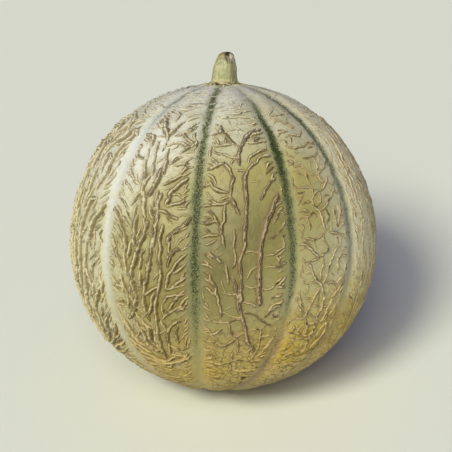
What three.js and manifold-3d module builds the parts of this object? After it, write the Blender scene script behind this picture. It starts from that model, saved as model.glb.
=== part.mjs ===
// A netted cantaloupe melon with the stub of its stem, in millimetres, +Z up.
//
// The fruit is a nearly round body, a little longer towards the stem than towards the blossom end. Ten shallow
// sutures run over it from the stem to the blossom end, which sits off the axis, and the rind swells slightly
// between them. The fruit leans back and rests on a small flat spot. The stem is a five-sided stub with a wider
// foot and an oblique cut at its tip. The origin is the middle of the flat spot.
import * as THREE from "three";
import { mergeVertices } from "three/addons/utils/BufferGeometryUtils.js";
import Module from "manifold-3d";

const wasm = await Module();
wasm.setup();

// Driving dimensions
const FRUIT_RADIUS = 73; // at the widest, half way between the two ends
const STEM_END_SHARE = 1.03; // from the widest part to the stem end, as a share of the radius
const FLAT_SPOT_RADIUS = 14;
const LEAN = THREE.MathUtils.degToRad(21); // how far the stem end leans back, towards +Y

// Sutures, as longitudes round the fruit in degrees: 0 faces -Y, and they grow towards +X.
const SUTURES = [-47.5, -10, 25, 53, 88, 125, 162, 199, 236, 274];
const SUTURE_DEPTH = 0.9;
const SUTURE_HALF_WIDTH = 4.2;
const RIB_SWELL = 0.7; // how far the rind stands out half way between two sutures
const BLOSSOM_OFFSET = { x: -0.09, y: -0.03 }; // where the sutures meet below, in shares of the radius

// The height of the fruit's middle above the flat spot, which is cut from its round underside
const CENTRE_HEIGHT = Math.sqrt(FRUIT_RADIUS ** 2 - FLAT_SPOT_RADIUS ** 2);

// How finely the fruit is faceted
const ROWS = 40; // from one end to the other
const COLUMN_SHARES = [0, 0.09, 0.2, 0.34, 0.5, 0.66, 0.8, 0.91]; // of the way from one suture to the next

// Stem
const STEM_HEIGHT = 14.8;
const STEM_PROFILE = [
  [6.7, 0],
  [6.2, 0.7],
  [6.0, 2.2],
  [5.85, 4.2],
  [5.6, 6.4],
  [5.2, 8.6],
  [4.6, 10.8],
  [3.7, 12.7],
  [2.3, 14.1],
]; // radius and height, from the foot up
const STEM_SIDES = 5;
const STEM_RIDGE = 0.035; // how far its five ridges stand out, as a share of its radius
const STEM_SEGMENTS = 30;
const STEM_LEAN = 0.5; // how far the tip stands to the side, in mm
const STEM_CUT_NORMAL = new THREE.Vector3(0.86, -0.3, 0.42).normalize();
const STEM_CUT_POINT = new THREE.Vector3(3.2, -1.1, 12.2); // on the cut face, above the middle of the foot
const JOINT_GAP = 0.3; // between the stem's foot and the fruit

const FULL_TURN = 360;
const smooth = THREE.MathUtils.smoothstep;

// The longitudes of the columns of facets: one along each suture, and the others spaced between them.
function columnLongitudes() {
  return SUTURES.flatMap((from, i) => {
    const to = i + 1 < SUTURES.length ? SUTURES[i + 1] : SUTURES[0] + FULL_TURN;
    return COLUMN_SHARES.map((share) => from + share * (to - from));
  });
}

// How far a longitude is from the nearest suture, and the width of the rib it lies on, in degrees.
function placeOnRib(longitude) {
  const turned = THREE.MathUtils.euclideanModulo(longitude - SUTURES[0], FULL_TURN) + SUTURES[0];
  let i = SUTURES.length - 1;
  while (i > 0 && SUTURES[i] > turned) i -= 1;
  const next = i + 1 < SUTURES.length ? SUTURES[i + 1] : SUTURES[0] + FULL_TURN;
  return { away: Math.min(turned - SUTURES[i], next - turned), width: next - SUTURES[i] };
}

// The point of the fruit's surface at a longitude and a latitude, both in degrees, on an upright fruit.
function surfacePoint(longitude, latitude) {
  const lon = THREE.MathUtils.degToRad(longitude);
  const lat = THREE.MathUtils.degToRad(latitude);
  const below = Math.max(0, -Math.sin(lat)) ** 2;
  const direction = new THREE.Vector3(
    Math.cos(lat) * Math.sin(lon) + BLOSSOM_OFFSET.x * below,
    -Math.cos(lat) * Math.cos(lon) + BLOSSOM_OFFSET.y * below,
    Math.sin(lat),
  ).normalize();
  const share = direction.z > 0 ? STEM_END_SHARE : 1;
  const body = FRUIT_RADIUS / Math.hypot(direction.x, direction.y, direction.z / share);

  const { away, width } = placeOnRib(longitude);
  const distance = THREE.MathUtils.degToRad(away) * Math.cos(lat) * FRUIT_RADIUS;
  const fromEnds = smooth(Math.cos(lat), 0.1, 0.5);
  const groove = SUTURE_DEPTH * Math.exp(-((distance / SUTURE_HALF_WIDTH) ** 2));
  const swell = RIB_SWELL * Math.sin((Math.PI * away) / width);
  return direction.multiplyScalar(body + (swell - groove) * fromEnds);
}

function solidFrom(geometry) {
  const bare = geometry.clone();
  bare.deleteAttribute("normal");
  bare.deleteAttribute("uv");
  const merged = mergeVertices(bare, 1e-4);
  return new wasm.Manifold(
    new wasm.Mesh({
      numProp: 3,
      vertProperties: merged.attributes.position.array,
      triVerts: new Uint32Array(merged.index.array),
    }),
  );
}

function geometryFrom(solid) {
  const made = solid.getMesh();
  const geometry = new THREE.BufferGeometry();
  geometry.setAttribute("position", new THREE.BufferAttribute(made.vertProperties, 3));
  geometry.setIndex(new THREE.BufferAttribute(made.triVerts, 1));
  geometry.computeVertexNormals();
  return geometry;
}

// A large block whose underside lies in a plane, to cut away all that is on the side the normal points to.
function blockBeyond(point, normal) {
  const side = 4 * FRUIT_RADIUS;
  const block = new THREE.BoxGeometry(side, side, side);
  block.translate(0, 0, side / 2);
  block.applyQuaternion(new THREE.Quaternion().setFromUnitVectors(new THREE.Vector3(0, 0, 1), normal));
  block.translate(point.x, point.y, point.z);
  return solidFrom(block);
}

// The fruit, about its own middle, already leaning, and cut flat where it rests.
function fruitGeometry() {
  const columns = columnLongitudes();
  const globe = new THREE.SphereGeometry(1, columns.length, ROWS);
  const places = globe.attributes.position;
  for (let row = 0; row <= ROWS; row += 1) {
    const latitude = 90 - (180 * row) / ROWS;
    for (let column = 0; column <= columns.length; column += 1) {
      const point = surfacePoint(columns[column % columns.length], latitude);
      places.setXYZ(row * (columns.length + 1) + column, point.x, point.y, point.z);
    }
  }
  globe.rotateX(-LEAN);
  const down = new THREE.Vector3(0, 0, -1);
  const restingHeight = new THREE.Vector3(0, 0, -CENTRE_HEIGHT);
  return geometryFrom(solidFrom(globe).subtract(blockBeyond(restingHeight, down)));
}

// The stem, with the middle of its foot at the origin.
function stemGeometry() {
  const outline = [
    new THREE.Vector2(0, 0),
    ...STEM_PROFILE.map(([radius, height]) => new THREE.Vector2(radius, height)),
    new THREE.Vector2(0, STEM_HEIGHT),
  ];
  const stub = new THREE.LatheGeometry(outline, STEM_SEGMENTS);
  stub.rotateX(Math.PI / 2); // a lathe turns about Y, and the stem stands along Z
  const places = stub.attributes.position;
  for (let i = 0; i < places.count; i += 1) {
    const [x, y, z] = [places.getX(i), places.getY(i), places.getZ(i)];
    const ridge = 1 + STEM_RIDGE * Math.cos(STEM_SIDES * Math.atan2(y, x));
    const sideways = STEM_LEAN * (z / STEM_HEIGHT) ** 2;
    places.setXYZ(i, x * ridge + sideways, y * ridge, z);
  }
  return geometryFrom(solidFrom(stub).subtract(blockBeyond(STEM_CUT_POINT, STEM_CUT_NORMAL)));
}

const rindFinish = new THREE.MeshStandardMaterial({ color: 0xc3b88c, roughness: 0.62, metalness: 0 });
const stemFinish = new THREE.MeshStandardMaterial({ color: 0xb3ae7c, roughness: 0.7, metalness: 0 });

const melon = new THREE.Group();
melon.position.z = CENTRE_HEIGHT;

const fruit = new THREE.Mesh(fruitGeometry(), rindFinish);
fruit.name = "fruit";
melon.add(fruit);

const leaning = new THREE.Group();
leaning.rotation.x = -LEAN;
melon.add(leaning);

const stem = new THREE.Mesh(stemGeometry(), stemFinish);
stem.name = "stem";
stem.position.z = FRUIT_RADIUS * STEM_END_SHARE + JOINT_GAP;
leaning.add(stem);

export default melon;
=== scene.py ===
# %% [markdown]
# # A netted cantaloupe melon
#
# The frame holds two plain solids: the fruit and the stub of its stem. This lesson gives both their real
# surface. The fruit's rind is built as one fine mesh with its corky net standing out of it, and the stem as
# a fibrous stub with a dried cut. Nothing moves, so both pieces ride on the one body, root.

import math
from bisect import bisect_right

import bpy
import numpy as np
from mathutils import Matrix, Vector, noise


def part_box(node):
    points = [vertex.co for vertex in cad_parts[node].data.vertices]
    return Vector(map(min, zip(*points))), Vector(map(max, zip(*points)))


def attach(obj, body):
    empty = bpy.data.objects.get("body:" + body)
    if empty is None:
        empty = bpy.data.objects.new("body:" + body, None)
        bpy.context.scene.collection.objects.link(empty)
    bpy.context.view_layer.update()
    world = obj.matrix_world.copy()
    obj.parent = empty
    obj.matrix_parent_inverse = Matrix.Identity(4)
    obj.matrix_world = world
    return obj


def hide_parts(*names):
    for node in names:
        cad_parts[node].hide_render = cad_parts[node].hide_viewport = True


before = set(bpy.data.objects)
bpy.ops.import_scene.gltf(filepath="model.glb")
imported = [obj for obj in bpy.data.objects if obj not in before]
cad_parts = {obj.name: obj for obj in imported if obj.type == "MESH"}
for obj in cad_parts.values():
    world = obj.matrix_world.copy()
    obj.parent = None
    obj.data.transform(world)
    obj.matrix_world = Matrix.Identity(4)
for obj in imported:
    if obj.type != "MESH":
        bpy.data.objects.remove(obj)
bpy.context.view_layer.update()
fruit_low, fruit_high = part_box("fruit")
stem_low, stem_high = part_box("stem")
print("nodes:", sorted(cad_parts))
print("fruit from", fruit_low, "to", fruit_high)
print("stem from", stem_low, "to", stem_high)

# %% [markdown]
# ## Driving sizes
#
# The rind follows the same formula as the frame's solid: a round body, a little longer towards the stem,
# with ten shallow sutures that swell between them. The sizes are in millimetres here, because a net's
# ridges are about one millimetre wide, and every mesh is turned into metres at the end. The frame's box is
# used to test the repeat.

# %% Sizes of the fruit, in millimetres and degrees
MM = 0.001
RADIUS = 73.0
STEM_END_SHARE = 1.03
FLAT_SPOT_RADIUS = 14.0
LEAN = math.radians(21)
SUTURES = np.array([-47.5, -10, 25, 53, 88, 125, 162, 199, 236, 274])
SUTURE_DEPTH = 0.9
SUTURE_HALF_WIDTH = 4.2
RIB_SWELL = 0.7
BLOSSOM_OFFSET = np.array([-0.09, -0.03, 0.0])
FADE_AT_ENDS = (0.1, 0.5)
MIDDLE_HEIGHT = math.sqrt(RADIUS**2 - FLAT_SPOT_RADIUS**2)
SUTURE_ENDS = np.append(SUTURES, SUTURES[0] + 360)
print("middle of the fruit", round(MIDDLE_HEIGHT, 2), "mm up; ribs", np.diff(SUTURE_ENDS), "degrees wide")


# %% Longitude, latitude and direction
def smooth(value, low, high):
    share = np.clip((value - low) / (high - low), 0, 1)
    return share * share * (3 - 2 * share)


def direction(lon, lat):
    """Unit vectors of places: longitude 0 faces -Y and grows towards +X, and latitude 90 is the stem end."""
    lon, lat = np.radians(lon), np.radians(lat)
    return np.stack([np.cos(lat) * np.sin(lon), -np.cos(lat) * np.cos(lon), np.sin(lat)], -1)


def lon_lat(v):
    return np.degrees(np.arctan2(v[..., 0], -v[..., 1])), np.degrees(np.arcsin(np.clip(v[..., 2], -1, 1)))


def place_on_rib(lon):
    """The rib that a longitude is on, how far it is from the rib's first suture, and the rib's width."""
    turned = np.mod(np.asarray(lon) - SUTURES[0], 360) + SUTURES[0]
    rib = np.clip(np.searchsorted(SUTURE_ENDS, turned, side="right") - 1, 0, len(SUTURES) - 1)
    return rib, turned - SUTURE_ENDS[rib], SUTURE_ENDS[rib + 1] - SUTURE_ENDS[rib]


def rind_places(v):
    """Points of the rind without its net, in millimetres, about the middle of an upright fruit."""
    lon, lat = lon_lat(v)
    below = np.maximum(0, -v[:, 2]) ** 2
    way = v + below[:, None] * BLOSSOM_OFFSET
    way /= np.linalg.norm(way, axis=1)[:, None]
    share = np.where(way[:, 2] > 0, STEM_END_SHARE, 1.0)
    body = RADIUS / np.sqrt(way[:, 0] ** 2 + way[:, 1] ** 2 + (way[:, 2] / share) ** 2)
    _, along, width = place_on_rib(lon)
    away = np.minimum(along, width - along)
    round_about = np.cos(np.radians(lat))
    distance = np.radians(away) * round_about * RADIUS
    groove = SUTURE_DEPTH * np.exp(-((distance / SUTURE_HALF_WIDTH) ** 2))
    swell = RIB_SWELL * np.sin(np.pi * away / width)
    return way * (body + (swell - groove) * smooth(round_about, *FADE_AT_ENDS))[:, None]


# %% [markdown]
# ## A fine mesh for the rind
#
# A globe with poles would bunch its faces at the ends and spread them at the waist. A cube whose faces are
# blown up into a ball has faces of nearly one size all over, so a ridge looks equally fine everywhere, and
# six square charts lay it out flat with no waste. Equal angles, and not equal lengths, are stepped off on
# each face.

# %% The blown-up cube
FACE_STEPS = 272


def cube_faces(steps):
    """Six square grids of whole-number places on a cube, each with its faces turned outwards."""
    i, j = np.meshgrid(np.arange(steps + 1), np.arange(steps + 1), indexing="ij")
    grids = []
    for axis in range(3):
        for side in (0, steps):
            grid = np.empty(i.shape + (3,), int)
            grid[..., axis] = side
            grid[..., (axis + 1) % 3] = i if side else j
            grid[..., (axis + 2) % 3] = j if side else i
            grids.append(grid)
    return grids


grids = cube_faces(FACE_STEPS)
lattice = np.concatenate([grid.reshape(-1, 3) for grid in grids])
keys = lattice @ np.array([(FACE_STEPS + 1) ** 2, FACE_STEPS + 1, 1])
_, first, shared = np.unique(keys, return_index=True, return_inverse=True)
turned = np.tan((2 * lattice[first] / FACE_STEPS - 1) * math.pi / 4)
ball = turned / np.linalg.norm(turned, axis=1)[:, None]
face_ids = shared.reshape(6, FACE_STEPS + 1, FACE_STEPS + 1)
corners = [face_ids[:, :-1, :-1], face_ids[:, 1:, :-1], face_ids[:, 1:, 1:], face_ids[:, :-1, 1:]]
quads = np.stack(corners, -1).reshape(-1, 4)
print(len(ball), "points,", len(quads), "faces of about", round(math.pi / 2 * RADIUS / FACE_STEPS, 2), "mm")


# %% [markdown]
# ## The net
#
# The rind of a netted melon cracks as the fruit swells, and cork heals each crack into a ridge. The ridges
# follow the strain: up and down the middle of a rib, and slanting down and inwards from a suture like the
# barbs of a feather, with rings of short ones near both ends. Where one ridge meets another it stops, so
# the net is grown the same way here: the strongest ridges are listed one by one, and the others grow from
# seeds until they meet a neighbour.

# %% The net's store of ridges
CELL = 3.0
OUT_OF_REACH = 9.0
net_cells = {}
ridges = []


def nearest_in_net(point):
    """The nearest point of the net within reach of a point, after its distance in millimetres."""
    x, y, z = (int(math.floor(c / CELL)) for c in point)
    best, found = OUT_OF_REACH, None
    for i in (x - 1, x, x + 1):
        for j in (y - 1, y, y + 1):
            for k in (z - 1, z, z + 1):
                for other in net_cells.get((i, j, k), ()):
                    gap = math.dist(point, other)
                    if gap < best:
                        best, found = gap, other
    return best, found


def keep_ridge(points, half_width, height, crack=0.5, tint=0.0):
    """Adds a ridge, given as points of the rind's ball in millimetres, to the net."""
    for point in points:
        place = tuple(float(c) for c in point)
        net_cells.setdefault(tuple(int(math.floor(c / CELL)) for c in place), []).append(place)
    ridges.append((np.array(points, float), half_width, height, crack, tint))


# %% A smooth ridge through listed points
LAY_STEP = 0.5


def smooth_line(points, step=LAY_STEP):
    """A curve through the points, with a point every step, on the rind's ball."""
    p = np.array(points, float)
    p = np.vstack([2 * p[0] - p[1], p, 2 * p[-1] - p[-2]])
    line = []
    for a, b, c, d in zip(p[:-3], p[1:-2], p[2:-1], p[3:]):
        count = max(1, round(np.linalg.norm(c - b) / step))
        t = (np.arange(count) / count)[:, None]
        curve = (c - a) * t + (2 * a - 5 * b + 4 * c - d) * t**2 + (3 * b - a - 3 * c + d) * t**3
        line.append(b + curve / 2)
    line.append(p[-2][None])
    line = np.vstack(line)
    return line * (RADIUS / np.linalg.norm(line, axis=1))[:, None]


def lay(half_width, height, *places, crack=0.5, tint=0.0):
    """A ridge through places given as longitude and latitude, in degrees."""
    spots = np.array(places, float).reshape(-1, 2)
    keep_ridge(smooth_line(direction(spots[:, 0], spots[:, 1]) * RADIUS), half_width, height, crack, tint)


# %% [markdown]
# ### Ridges listed one by one
#
# The boldest ridges give this fruit its face, so they are laid one by one, as pairs of longitude and
# latitude. The first two numbers are a ridge's half width and its height in millimetres.

# %% The rib on the left of the front
lay(
    0.85, 0.85, (-35.5, 36), (-34.6, 33), (-33, 30), (-32.5, 26), (-31.8, 22), (-30.2, 18), (-29.3, 13),
    crack=0.9,
)
lay(0.65, 0.7, (-32.2, 44), (-32, 40), (-31, 36.5), (-30.2, 33), (-29.6, 30.5))
lay(0.8, 0.8, (-30, 30.5), (-31.4, 28.5), (-32.2, 26.5))
lay(0.75, 0.8, (-31.6, 24.5), (-30.6, 21), (-29.6, 17), (-29.2, 14.5))
lay(1.0, 0.95, (-26.2, 33.5), (-26.9, 29), (-28, 25.5), (-29.2, 23), crack=0.9)
lay(0.7, 0.75, (-25.5, 41), (-25.2, 37), (-24.8, 33.5), (-24.7, 31))
lay(
    0.9, 0.9, (-25.6, 25), (-25.5, 20), (-25.1, 15), (-25.2, 10), (-25.9, 5), (-26.2, 0), (-27.6, -5),
    (-28.9, -10), (-29.6, -14), (-29.2, -18), (-28.4, -22), crack=0.8,
)
lay(0.75, 0.8, (-24, 24.5), (-24.5, 20), (-24.2, 15), (-24.6, 9), (-25.3, 5.5))
lay(
    0.9, 0.9, (-22, 13.5), (-22.4, 9), (-22.2, 5), (-22.4, 0), (-22.3, -4), (-23, -8), (-24, -11.5),
    (-25.1, -17), (-25.2, -22), (-25.8, -27), (-25.8, -33), (-25.4, -40), crack=0.7,
)
lay(1.1, 1.0, (-32.7, 16), (-33, 12), (-32.9, 8.5), (-32.3, 5))
lay(
    1.1, 1.0, (-27.8, 14.5), (-28.6, 11), (-29.8, 7.5), (-31.2, 4), (-32.6, 0), (-33.9, -3.5), (-34.2, -7),
    (-33.4, -10), (-33, -13), (-34, -16), (-34.6, -18.5), (-36.5, -20.6), (-38.4, -22.4), crack=0.9,
)
lay(0.75, 0.8, (-28.2, 5), (-29.4, 3), (-30, 0), (-30.3, -3))
lay(0.9, 0.85, (-33.9, 7.6), (-34.7, 4), (-35.2, 0.8))
lay(0.85, 0.85, (-37, 2.4), (-36.3, -1.5), (-35.6, -5.6))
lay(0.75, 0.8, (-39, -5), (-38, -8), (-37, -11), (-36.5, -14), (-37.2, -17.6))
lay(0.6, 0.6, (-40, -6), (-39, -9), (-38.5, -12))
lay(0.95, 0.85, (-33.4, 24.2), (-34.8, 22), (-36, 19.4))
lay(0.85, 0.8, (-32.9, 20), (-33.8, 18), (-34.3, 15.8))
lay(0.7, 0.75, (-24.8, 26.8), (-22, 28.4), (-19, 29.8), (-15.5, 31.6), (-13.6, 32.4))
lay(1.0, 0.9, (-21.6, 20.4), (-20, 24.6), (-17.2, 27.8), (-14.4, 30.2))
lay(0.9, 0.9, (-20.4, 7.2), (-18.6, 10.4), (-15.6, 12.6), (-13.4, 14.6), (-12, 16.6), crack=1.0)
lay(0.7, 0.7, (-24.2, 18.2), (-21.5, 17.7), (-18.5, 16.6), (-16.6, 15.6))
lay(0.75, 0.75, (-21, 20), (-18.6, 20.4), (-16.6, 21.4), (-14.8, 22.2))
lay(0.6, 0.6, (-19, 24), (-17, 24.2), (-15.4, 23))
lay(0.75, 0.8, (-20, -1), (-18.8, 2.4), (-17, 4.8), (-14.8, 5), crack=1.0)
lay(0.6, 0.6, (-21, -9.6), (-18.6, -8.4), (-15, -7.4))
lay(0.7, 0.7, (-22.2, -14.8), (-20.4, -11.8), (-18, -10.9), (-14, -10.6))
lay(0.7, 0.7, (-23.4, -21), (-20.4, -18.2), (-17.6, -16.4), (-15, -15))
lay(0.8, 0.8, (-22.6, -31), (-21.6, -26.5), (-19.8, -23.6), (-17.8, -21.4), (-15, -21), crack=0.8)
lay(0.7, 0.7, (-22.4, -38), (-22, -34), (-21.2, -30.5))
lay(0.8, 0.8, (-27.2, -26), (-27.4, -30), (-27, -36))
lay(0.75, 0.8, (-34.2, -19), (-32, -22), (-29.6, -24.4), (-27.6, -25.2))
lay(0.7, 0.7, (-35, -22), (-33.6, -26), (-33.2, -29), (-34.6, -31.5))
lay(0.65, 0.7, (-42.8, 7.8), (-42.3, 6), (-41.2, 3.6), (-40.2, 0.4), (-38.2, -3.6))
lay(0.6, 0.6, (-44, -0.4), (-42.4, -2.2), (-42.6, -3.6))
lay(0.55, 0.5, (-43.4, 28.4), (-40, 26.4), (-36.6, 24))
lay(0.55, 0.5, (-43, 21.6), (-40, 19.8), (-37, 17.6))
lay(0.6, 0.6, (-43, 32.4), (-41.2, 31), (-38.4, 28.6), (-35.4, 26.8))
lay(0.6, 0.6, (-37.4, 31), (-36.6, 29), (-35, 26.6))
lay(0.6, 0.6, (-36.4, 41), (-35.4, 38.6), (-34.8, 36))
lay(0.55, 0.55, (-28.7, 44.4), (-28.4, 42), (-28.6, 39.4))
lay(0.7, 0.7, (-27.6, 42), (-25.4, 43), (-22.4, 43.6), (-19.4, 43.3), (-16.4, 42.7))
lay(0.75, 0.75, (-24.8, 46.2), (-22.6, 47.2), (-20.4, 48.6), (-18.6, 48.2))
lay(0.7, 0.75, (-19.6, 39.4), (-18, 41), (-15.6, 42.4))
lay(0.75, 0.8, (-23.6, 35), (-21.8, 36), (-20.4, 37.4), (-17.8, 37.8), crack=0.9)
lay(0.65, 0.7, (-21, 34.6), (-18, 35), (-15, 35.8))

# %% The middle rib, down from the stem
lay(0.5, 0.35, (-3.5, 71), (3, 71.2), (12, 71), (18, 71))
lay(0.5, 0.35, (-4, 68.2), (2, 67.8), (8, 67.4), (14, 67), (22, 67.3))
lay(0.5, 0.35, (-5.5, 64), (0, 64.8), (9, 64.8))
lay(0.5, 0.4, (10, 60.6), (12, 62.4), (14.4, 64.4), (19, 64.6))
lay(0.5, 0.4, (-6, 60.3), (0, 60.2), (6, 60.2), (14, 60.8))
lay(0.6, 0.5, (1, 57.6), (5, 57.9), (9.8, 57.8), (12.4, 59), (16, 59.6), (20, 59.8))
lay(0.6, 0.5, (-4, 55.6), (4, 55.8), (12, 55.8), (17, 55.4), (21, 54.4))
lay(0.5, 0.4, (12.6, 54), (14.4, 52.4), (17, 51.6))
lay(0.6, 0.5, (0.5, 49), (3, 49.8), (8, 49.9), (11, 48.8))
lay(
    0.6, 0.6, (-1.6, 52), (-0.8, 49.4), (0.6, 47.6), (2.4, 45.8), (4.2, 43.9), (6.8, 42), tint=0.9,
    crack=0.9,
)
lay(0.5, 0.5, (-7, 47.8), (-4, 48), (-1, 47.8), tint=0.8)
lay(0.55, 0.5, (0.8, 46.4), (1, 44.2), (0.4, 43.2), tint=0.5)
lay(0.6, 0.6, (-5.4, 44.4), (-4, 43.4), (-1, 43.2), (2, 43.1), (4.4, 43.6))
lay(
    0.75, 0.8, (20, 50.2), (16.4, 49.2), (13, 47.8), (11, 46.4), (10, 44.6), (8.6, 43), (7.2, 41),
    (6.5, 39), (6.2, 37), (6.5, 35), crack=0.9, tint=0.5,
)
lay(0.6, 0.6, (10.2, 44.1), (14, 44), (18, 44.6), (21.4, 44.8))
lay(0.6, 0.6, (-5, 41), (-1, 39.4), (2.5, 38.4), (6.2, 38))
lay(0.8, 0.8, (-7.6, 33.6), (-5, 34.2), (-2, 35.5), (0, 36.4))
lay(
    0.8, 0.8, (0, 36.6), (1.4, 34.4), (2.6, 32.4), (3.4, 30.4), (3, 28), (2.6, 26), (2.5, 24.2), crack=0.8,
    tint=0.4,
)
lay(0.8, 0.8, (2.6, 24), (3.4, 22), (4.1, 20), (5.4, 17.4), crack=0.8, tint=0.4)
lay(0.6, 0.6, (4.8, 38), (3.3, 36.6), (2.7, 35))
lay(0.65, 0.7, (21, 38.8), (18, 38.6), (15.5, 37.6), (13.5, 35.8), (11, 34.4), (9.5, 33))
lay(
    0.85, 0.8, (9.6, 33), (9, 31.5), (8, 30), (8, 27), (8.2, 24), (8.3, 21), (8, 18), (7.8, 15.5),
    (7.4, 12), (7.1, 9), (7, 6.5), (6.3, 4.4), (5.7, 2), (5.6, -1), (5.9, -4), (6.1, -7), (5.9, -10),
    (6.2, -13.4), crack=0.9, tint=0.75,
)
lay(0.6, 0.6, (20.4, 41), (17.5, 40.8), (15, 39.8), (12, 38.5), (10.9, 37.4), (10.4, 35.6))
lay(0.5, 0.45, (4.2, 33.1), (7, 33), (9, 33.2))
lay(0.5, 0.5, (21.4, 34.2), (19, 33), (17.5, 32), (16.9, 31.2), crack=1.0)
lay(0.6, 0.6, (21.4, 30.4), (19, 29), (17, 26.8), (15.4, 25), (14.4, 23.4), (13.2, 22), crack=1.0)
lay(
    1.0, 0.85, (20.8, 24.4), (19, 21.5), (17.4, 18.8), (16, 16.4), (15, 14.2), (14, 11), (13.1, 8),
    (12.6, 5), (12.3, 2), (12.2, -1), (12.2, -5), (12.4, -9), (12.7, -12), (12.9, -14.4), crack=1.0,
    tint=1.0,
)
lay(0.6, 0.6, (20.2, 18.6), (19.4, 16.8), (18, 14.4), tint=0.4)
lay(0.65, 0.7, (-9, 27), (-6.6, 27.6), (-5, 28.6))
lay(0.75, 0.75, (-5.6, 29), (-3.5, 27), (-1.5, 25.8), (1.6, 25.2))
lay(0.6, 0.6, (-1.4, 22.4), (0.5, 23.2), (2.3, 23.9))
lay(0.7, 0.7, (-8, 20.6), (-4, 20.9), (-1, 21.1), (1.6, 22))
lay(
    0.75, 0.75, (0.3, 21), (0.4, 18), (0.2, 15.5), (-0.7, 13.8), (-0.8, 11.5), (-0.3, 9.2), (0.2, 6.6),
    tint=0.3,
)
lay(0.7, 0.7, (-5, 19.2), (-3.6, 17.2), (-2.6, 15.2), (-1, 13.6))
lay(0.7, 0.7, (-8, 14.6), (-5.5, 14.8), (-3, 15.1))
lay(0.7, 0.7, (-7.6, 9.8), (-4.5, 10.4), (-1.3, 10.9))
lay(0.65, 0.65, (-6.2, 7.2), (-4.2, 7.8), (-2.5, 9.2))
lay(0.6, 0.6, (3.7, 12.4), (3.4, 8.6), (3.5, 5.2), (4.2, 2.6), (3.4, 1), (2.7, -0.8), tint=0.5, crack=0.8)
lay(0.65, 0.65, (-5.2, 4.6), (-3.2, 3), (-1.5, 1.5), (-0.2, 0.4))
lay(0.65, 0.65, (0.6, 0.4), (0.9, -1.6), (1.2, -4), (1.4, -6.6), tint=0.3)
lay(
    0.75, 0.75, (-5, -3), (-4, -5.5), (-2.8, -7.6), (-2.4, -10), (-1.5, -13), (-0.8, -16), (-0.5, -18.8),
    crack=0.8,
)
lay(
    0.85, 0.8, (3.3, -4), (4.2, -7.6), (5, -11), (5.8, -14.4), (6.8, -17.5), (7.8, -20.5), (9, -24),
    (10, -27), (11.5, -30), (13.2, -32), (14.4, -34.6), crack=0.9, tint=0.8,
)
lay(0.5, 0.4, (-0.4, -9.6), (2.4, -9.8), (4.6, -10.2))
lay(0.5, 0.45, (0.2, -16.6), (2.8, -18.2), (6.6, -18.8))
lay(0.55, 0.5, (6.6, -19), (4, -20), (1.4, -21), (-1.4, -20.6), (-4.8, -19.8), tint=0.4)
lay(0.55, 0.5, (2, -21.2), (3, -23.6), (4.5, -26), (6, -26.6), (8.6, -25), tint=0.6)
lay(0.55, 0.55, (6, -26.8), (6.8, -30), (7.8, -33), (7.6, -35.6), tint=0.5)
lay(0.55, 0.5, (7.4, -13), (9.6, -13.3), (11.4, -14.8), (12.6, -15), tint=0.3)
lay(
    0.5, 0.45, (6.6, -17), (9.2, -17.2), (12, -18.2), (14.4, -20), (16.4, -21.8), (18.4, -22.4), (21, -22),
    crack=1.0,
)
lay(0.65, 0.65, (15.2, -19.4), (16.8, -17.2), (18.6, -15.8), (21.4, -15), crack=1.0)
lay(0.5, 0.5, (18.4, -17.6), (19, -19.3), (20.8, -19.4), crack=1.0)
lay(0.5, 0.45, (9.6, -24.6), (12.5, -24), (15.6, -23.6), (16.6, -22.4))
lay(0.5, 0.45, (15.2, -24), (15.6, -27), (16, -30), (16, -33), (15.4, -36), (15.1, -40))
lay(0.5, 0.45, (16.4, -27.6), (19, -27), (21.4, -26.2))
lay(0.5, 0.45, (7.8, -34), (11, -34.8), (12.4, -33.8), (13.2, -32.4))
lay(
    0.6, 0.6, (5.8, -34.6), (5.6, -37), (6.2, -38.6), (9.4, -38.9), (12, -39.4), (15, -40), crack=0.9,
    tint=0.5,
)
lay(0.5, 0.45, (13.6, -0.5), (17, -0.7), (20.8, -1))
lay(0.5, 0.45, (14, 3.3), (17.6, 3.6), (18.4, 4.8), (20.8, 5.6), (21.2, 7.6), (20.8, 9))
lay(0.5, 0.45, (17.8, 3.2), (19, 2), (19.4, 0.2))
lay(0.55, 0.5, (13.2, -8.7), (16.4, -8.2), (18.4, -6), (20.6, -4.6), crack=0.9)
lay(0.5, 0.4, (7.4, -6.6), (9.4, -7.6), (11.6, -7.6))
lay(0.5, 0.4, (7.8, -4.4), (9.6, -1.2), (11.4, -0.4))
lay(0.5, 0.4, (7.6, 4.6), (10, 4.7), (12, 4.5))
lay(0.5, 0.4, (15.2, 9), (18, 9.8), (20.8, 12), (21.8, 13), crack=0.9)
lay(
    0.6, 0.6, (-6.6, -24.4), (-5, -24), (-3.9, -25.9), (-2.4, -25.4), (-1.4, -24.4), (0.5, -23.8),
    crack=0.9,
)
lay(0.5, 0.5, (-4.6, -26.4), (-2.6, -27.4), (-0.6, -28.6), tint=0.6)
lay(0.6, 0.6, (-7, -29.5), (-4.5, -29.3), (-2, -29.8))
lay(0.7, 0.65, (-1.6, -31), (1, -31.3), (2.8, -31), (3.6, -29.5), (6, -28.3), crack=1.0)
lay(0.6, 0.6, (-5, -32.6), (-3, -32.2), (-0.6, -32.8))
lay(0.6, 0.6, (-4.8, -36), (-2.6, -37.4), (-0.4, -38.6), crack=0.9)
lay(0.7, 0.65, (-6, -40.6), (-3.4, -40.3), (-1, -40.8), (2, -41.2), (5.4, -40.4), (6.4, -39.2), crack=0.9)
lay(0.55, 0.5, (6.2, -41), (6.6, -43.4), (5.8, -46), (7.4, -47.6), (8.6, -46))
lay(0.65, 0.6, (-6.4, -42.6), (-3, -42.8), (-1, -42.4))
lay(0.7, 0.65, (-6, -46.6), (-3, -46.1), (0.2, -46))
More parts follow.
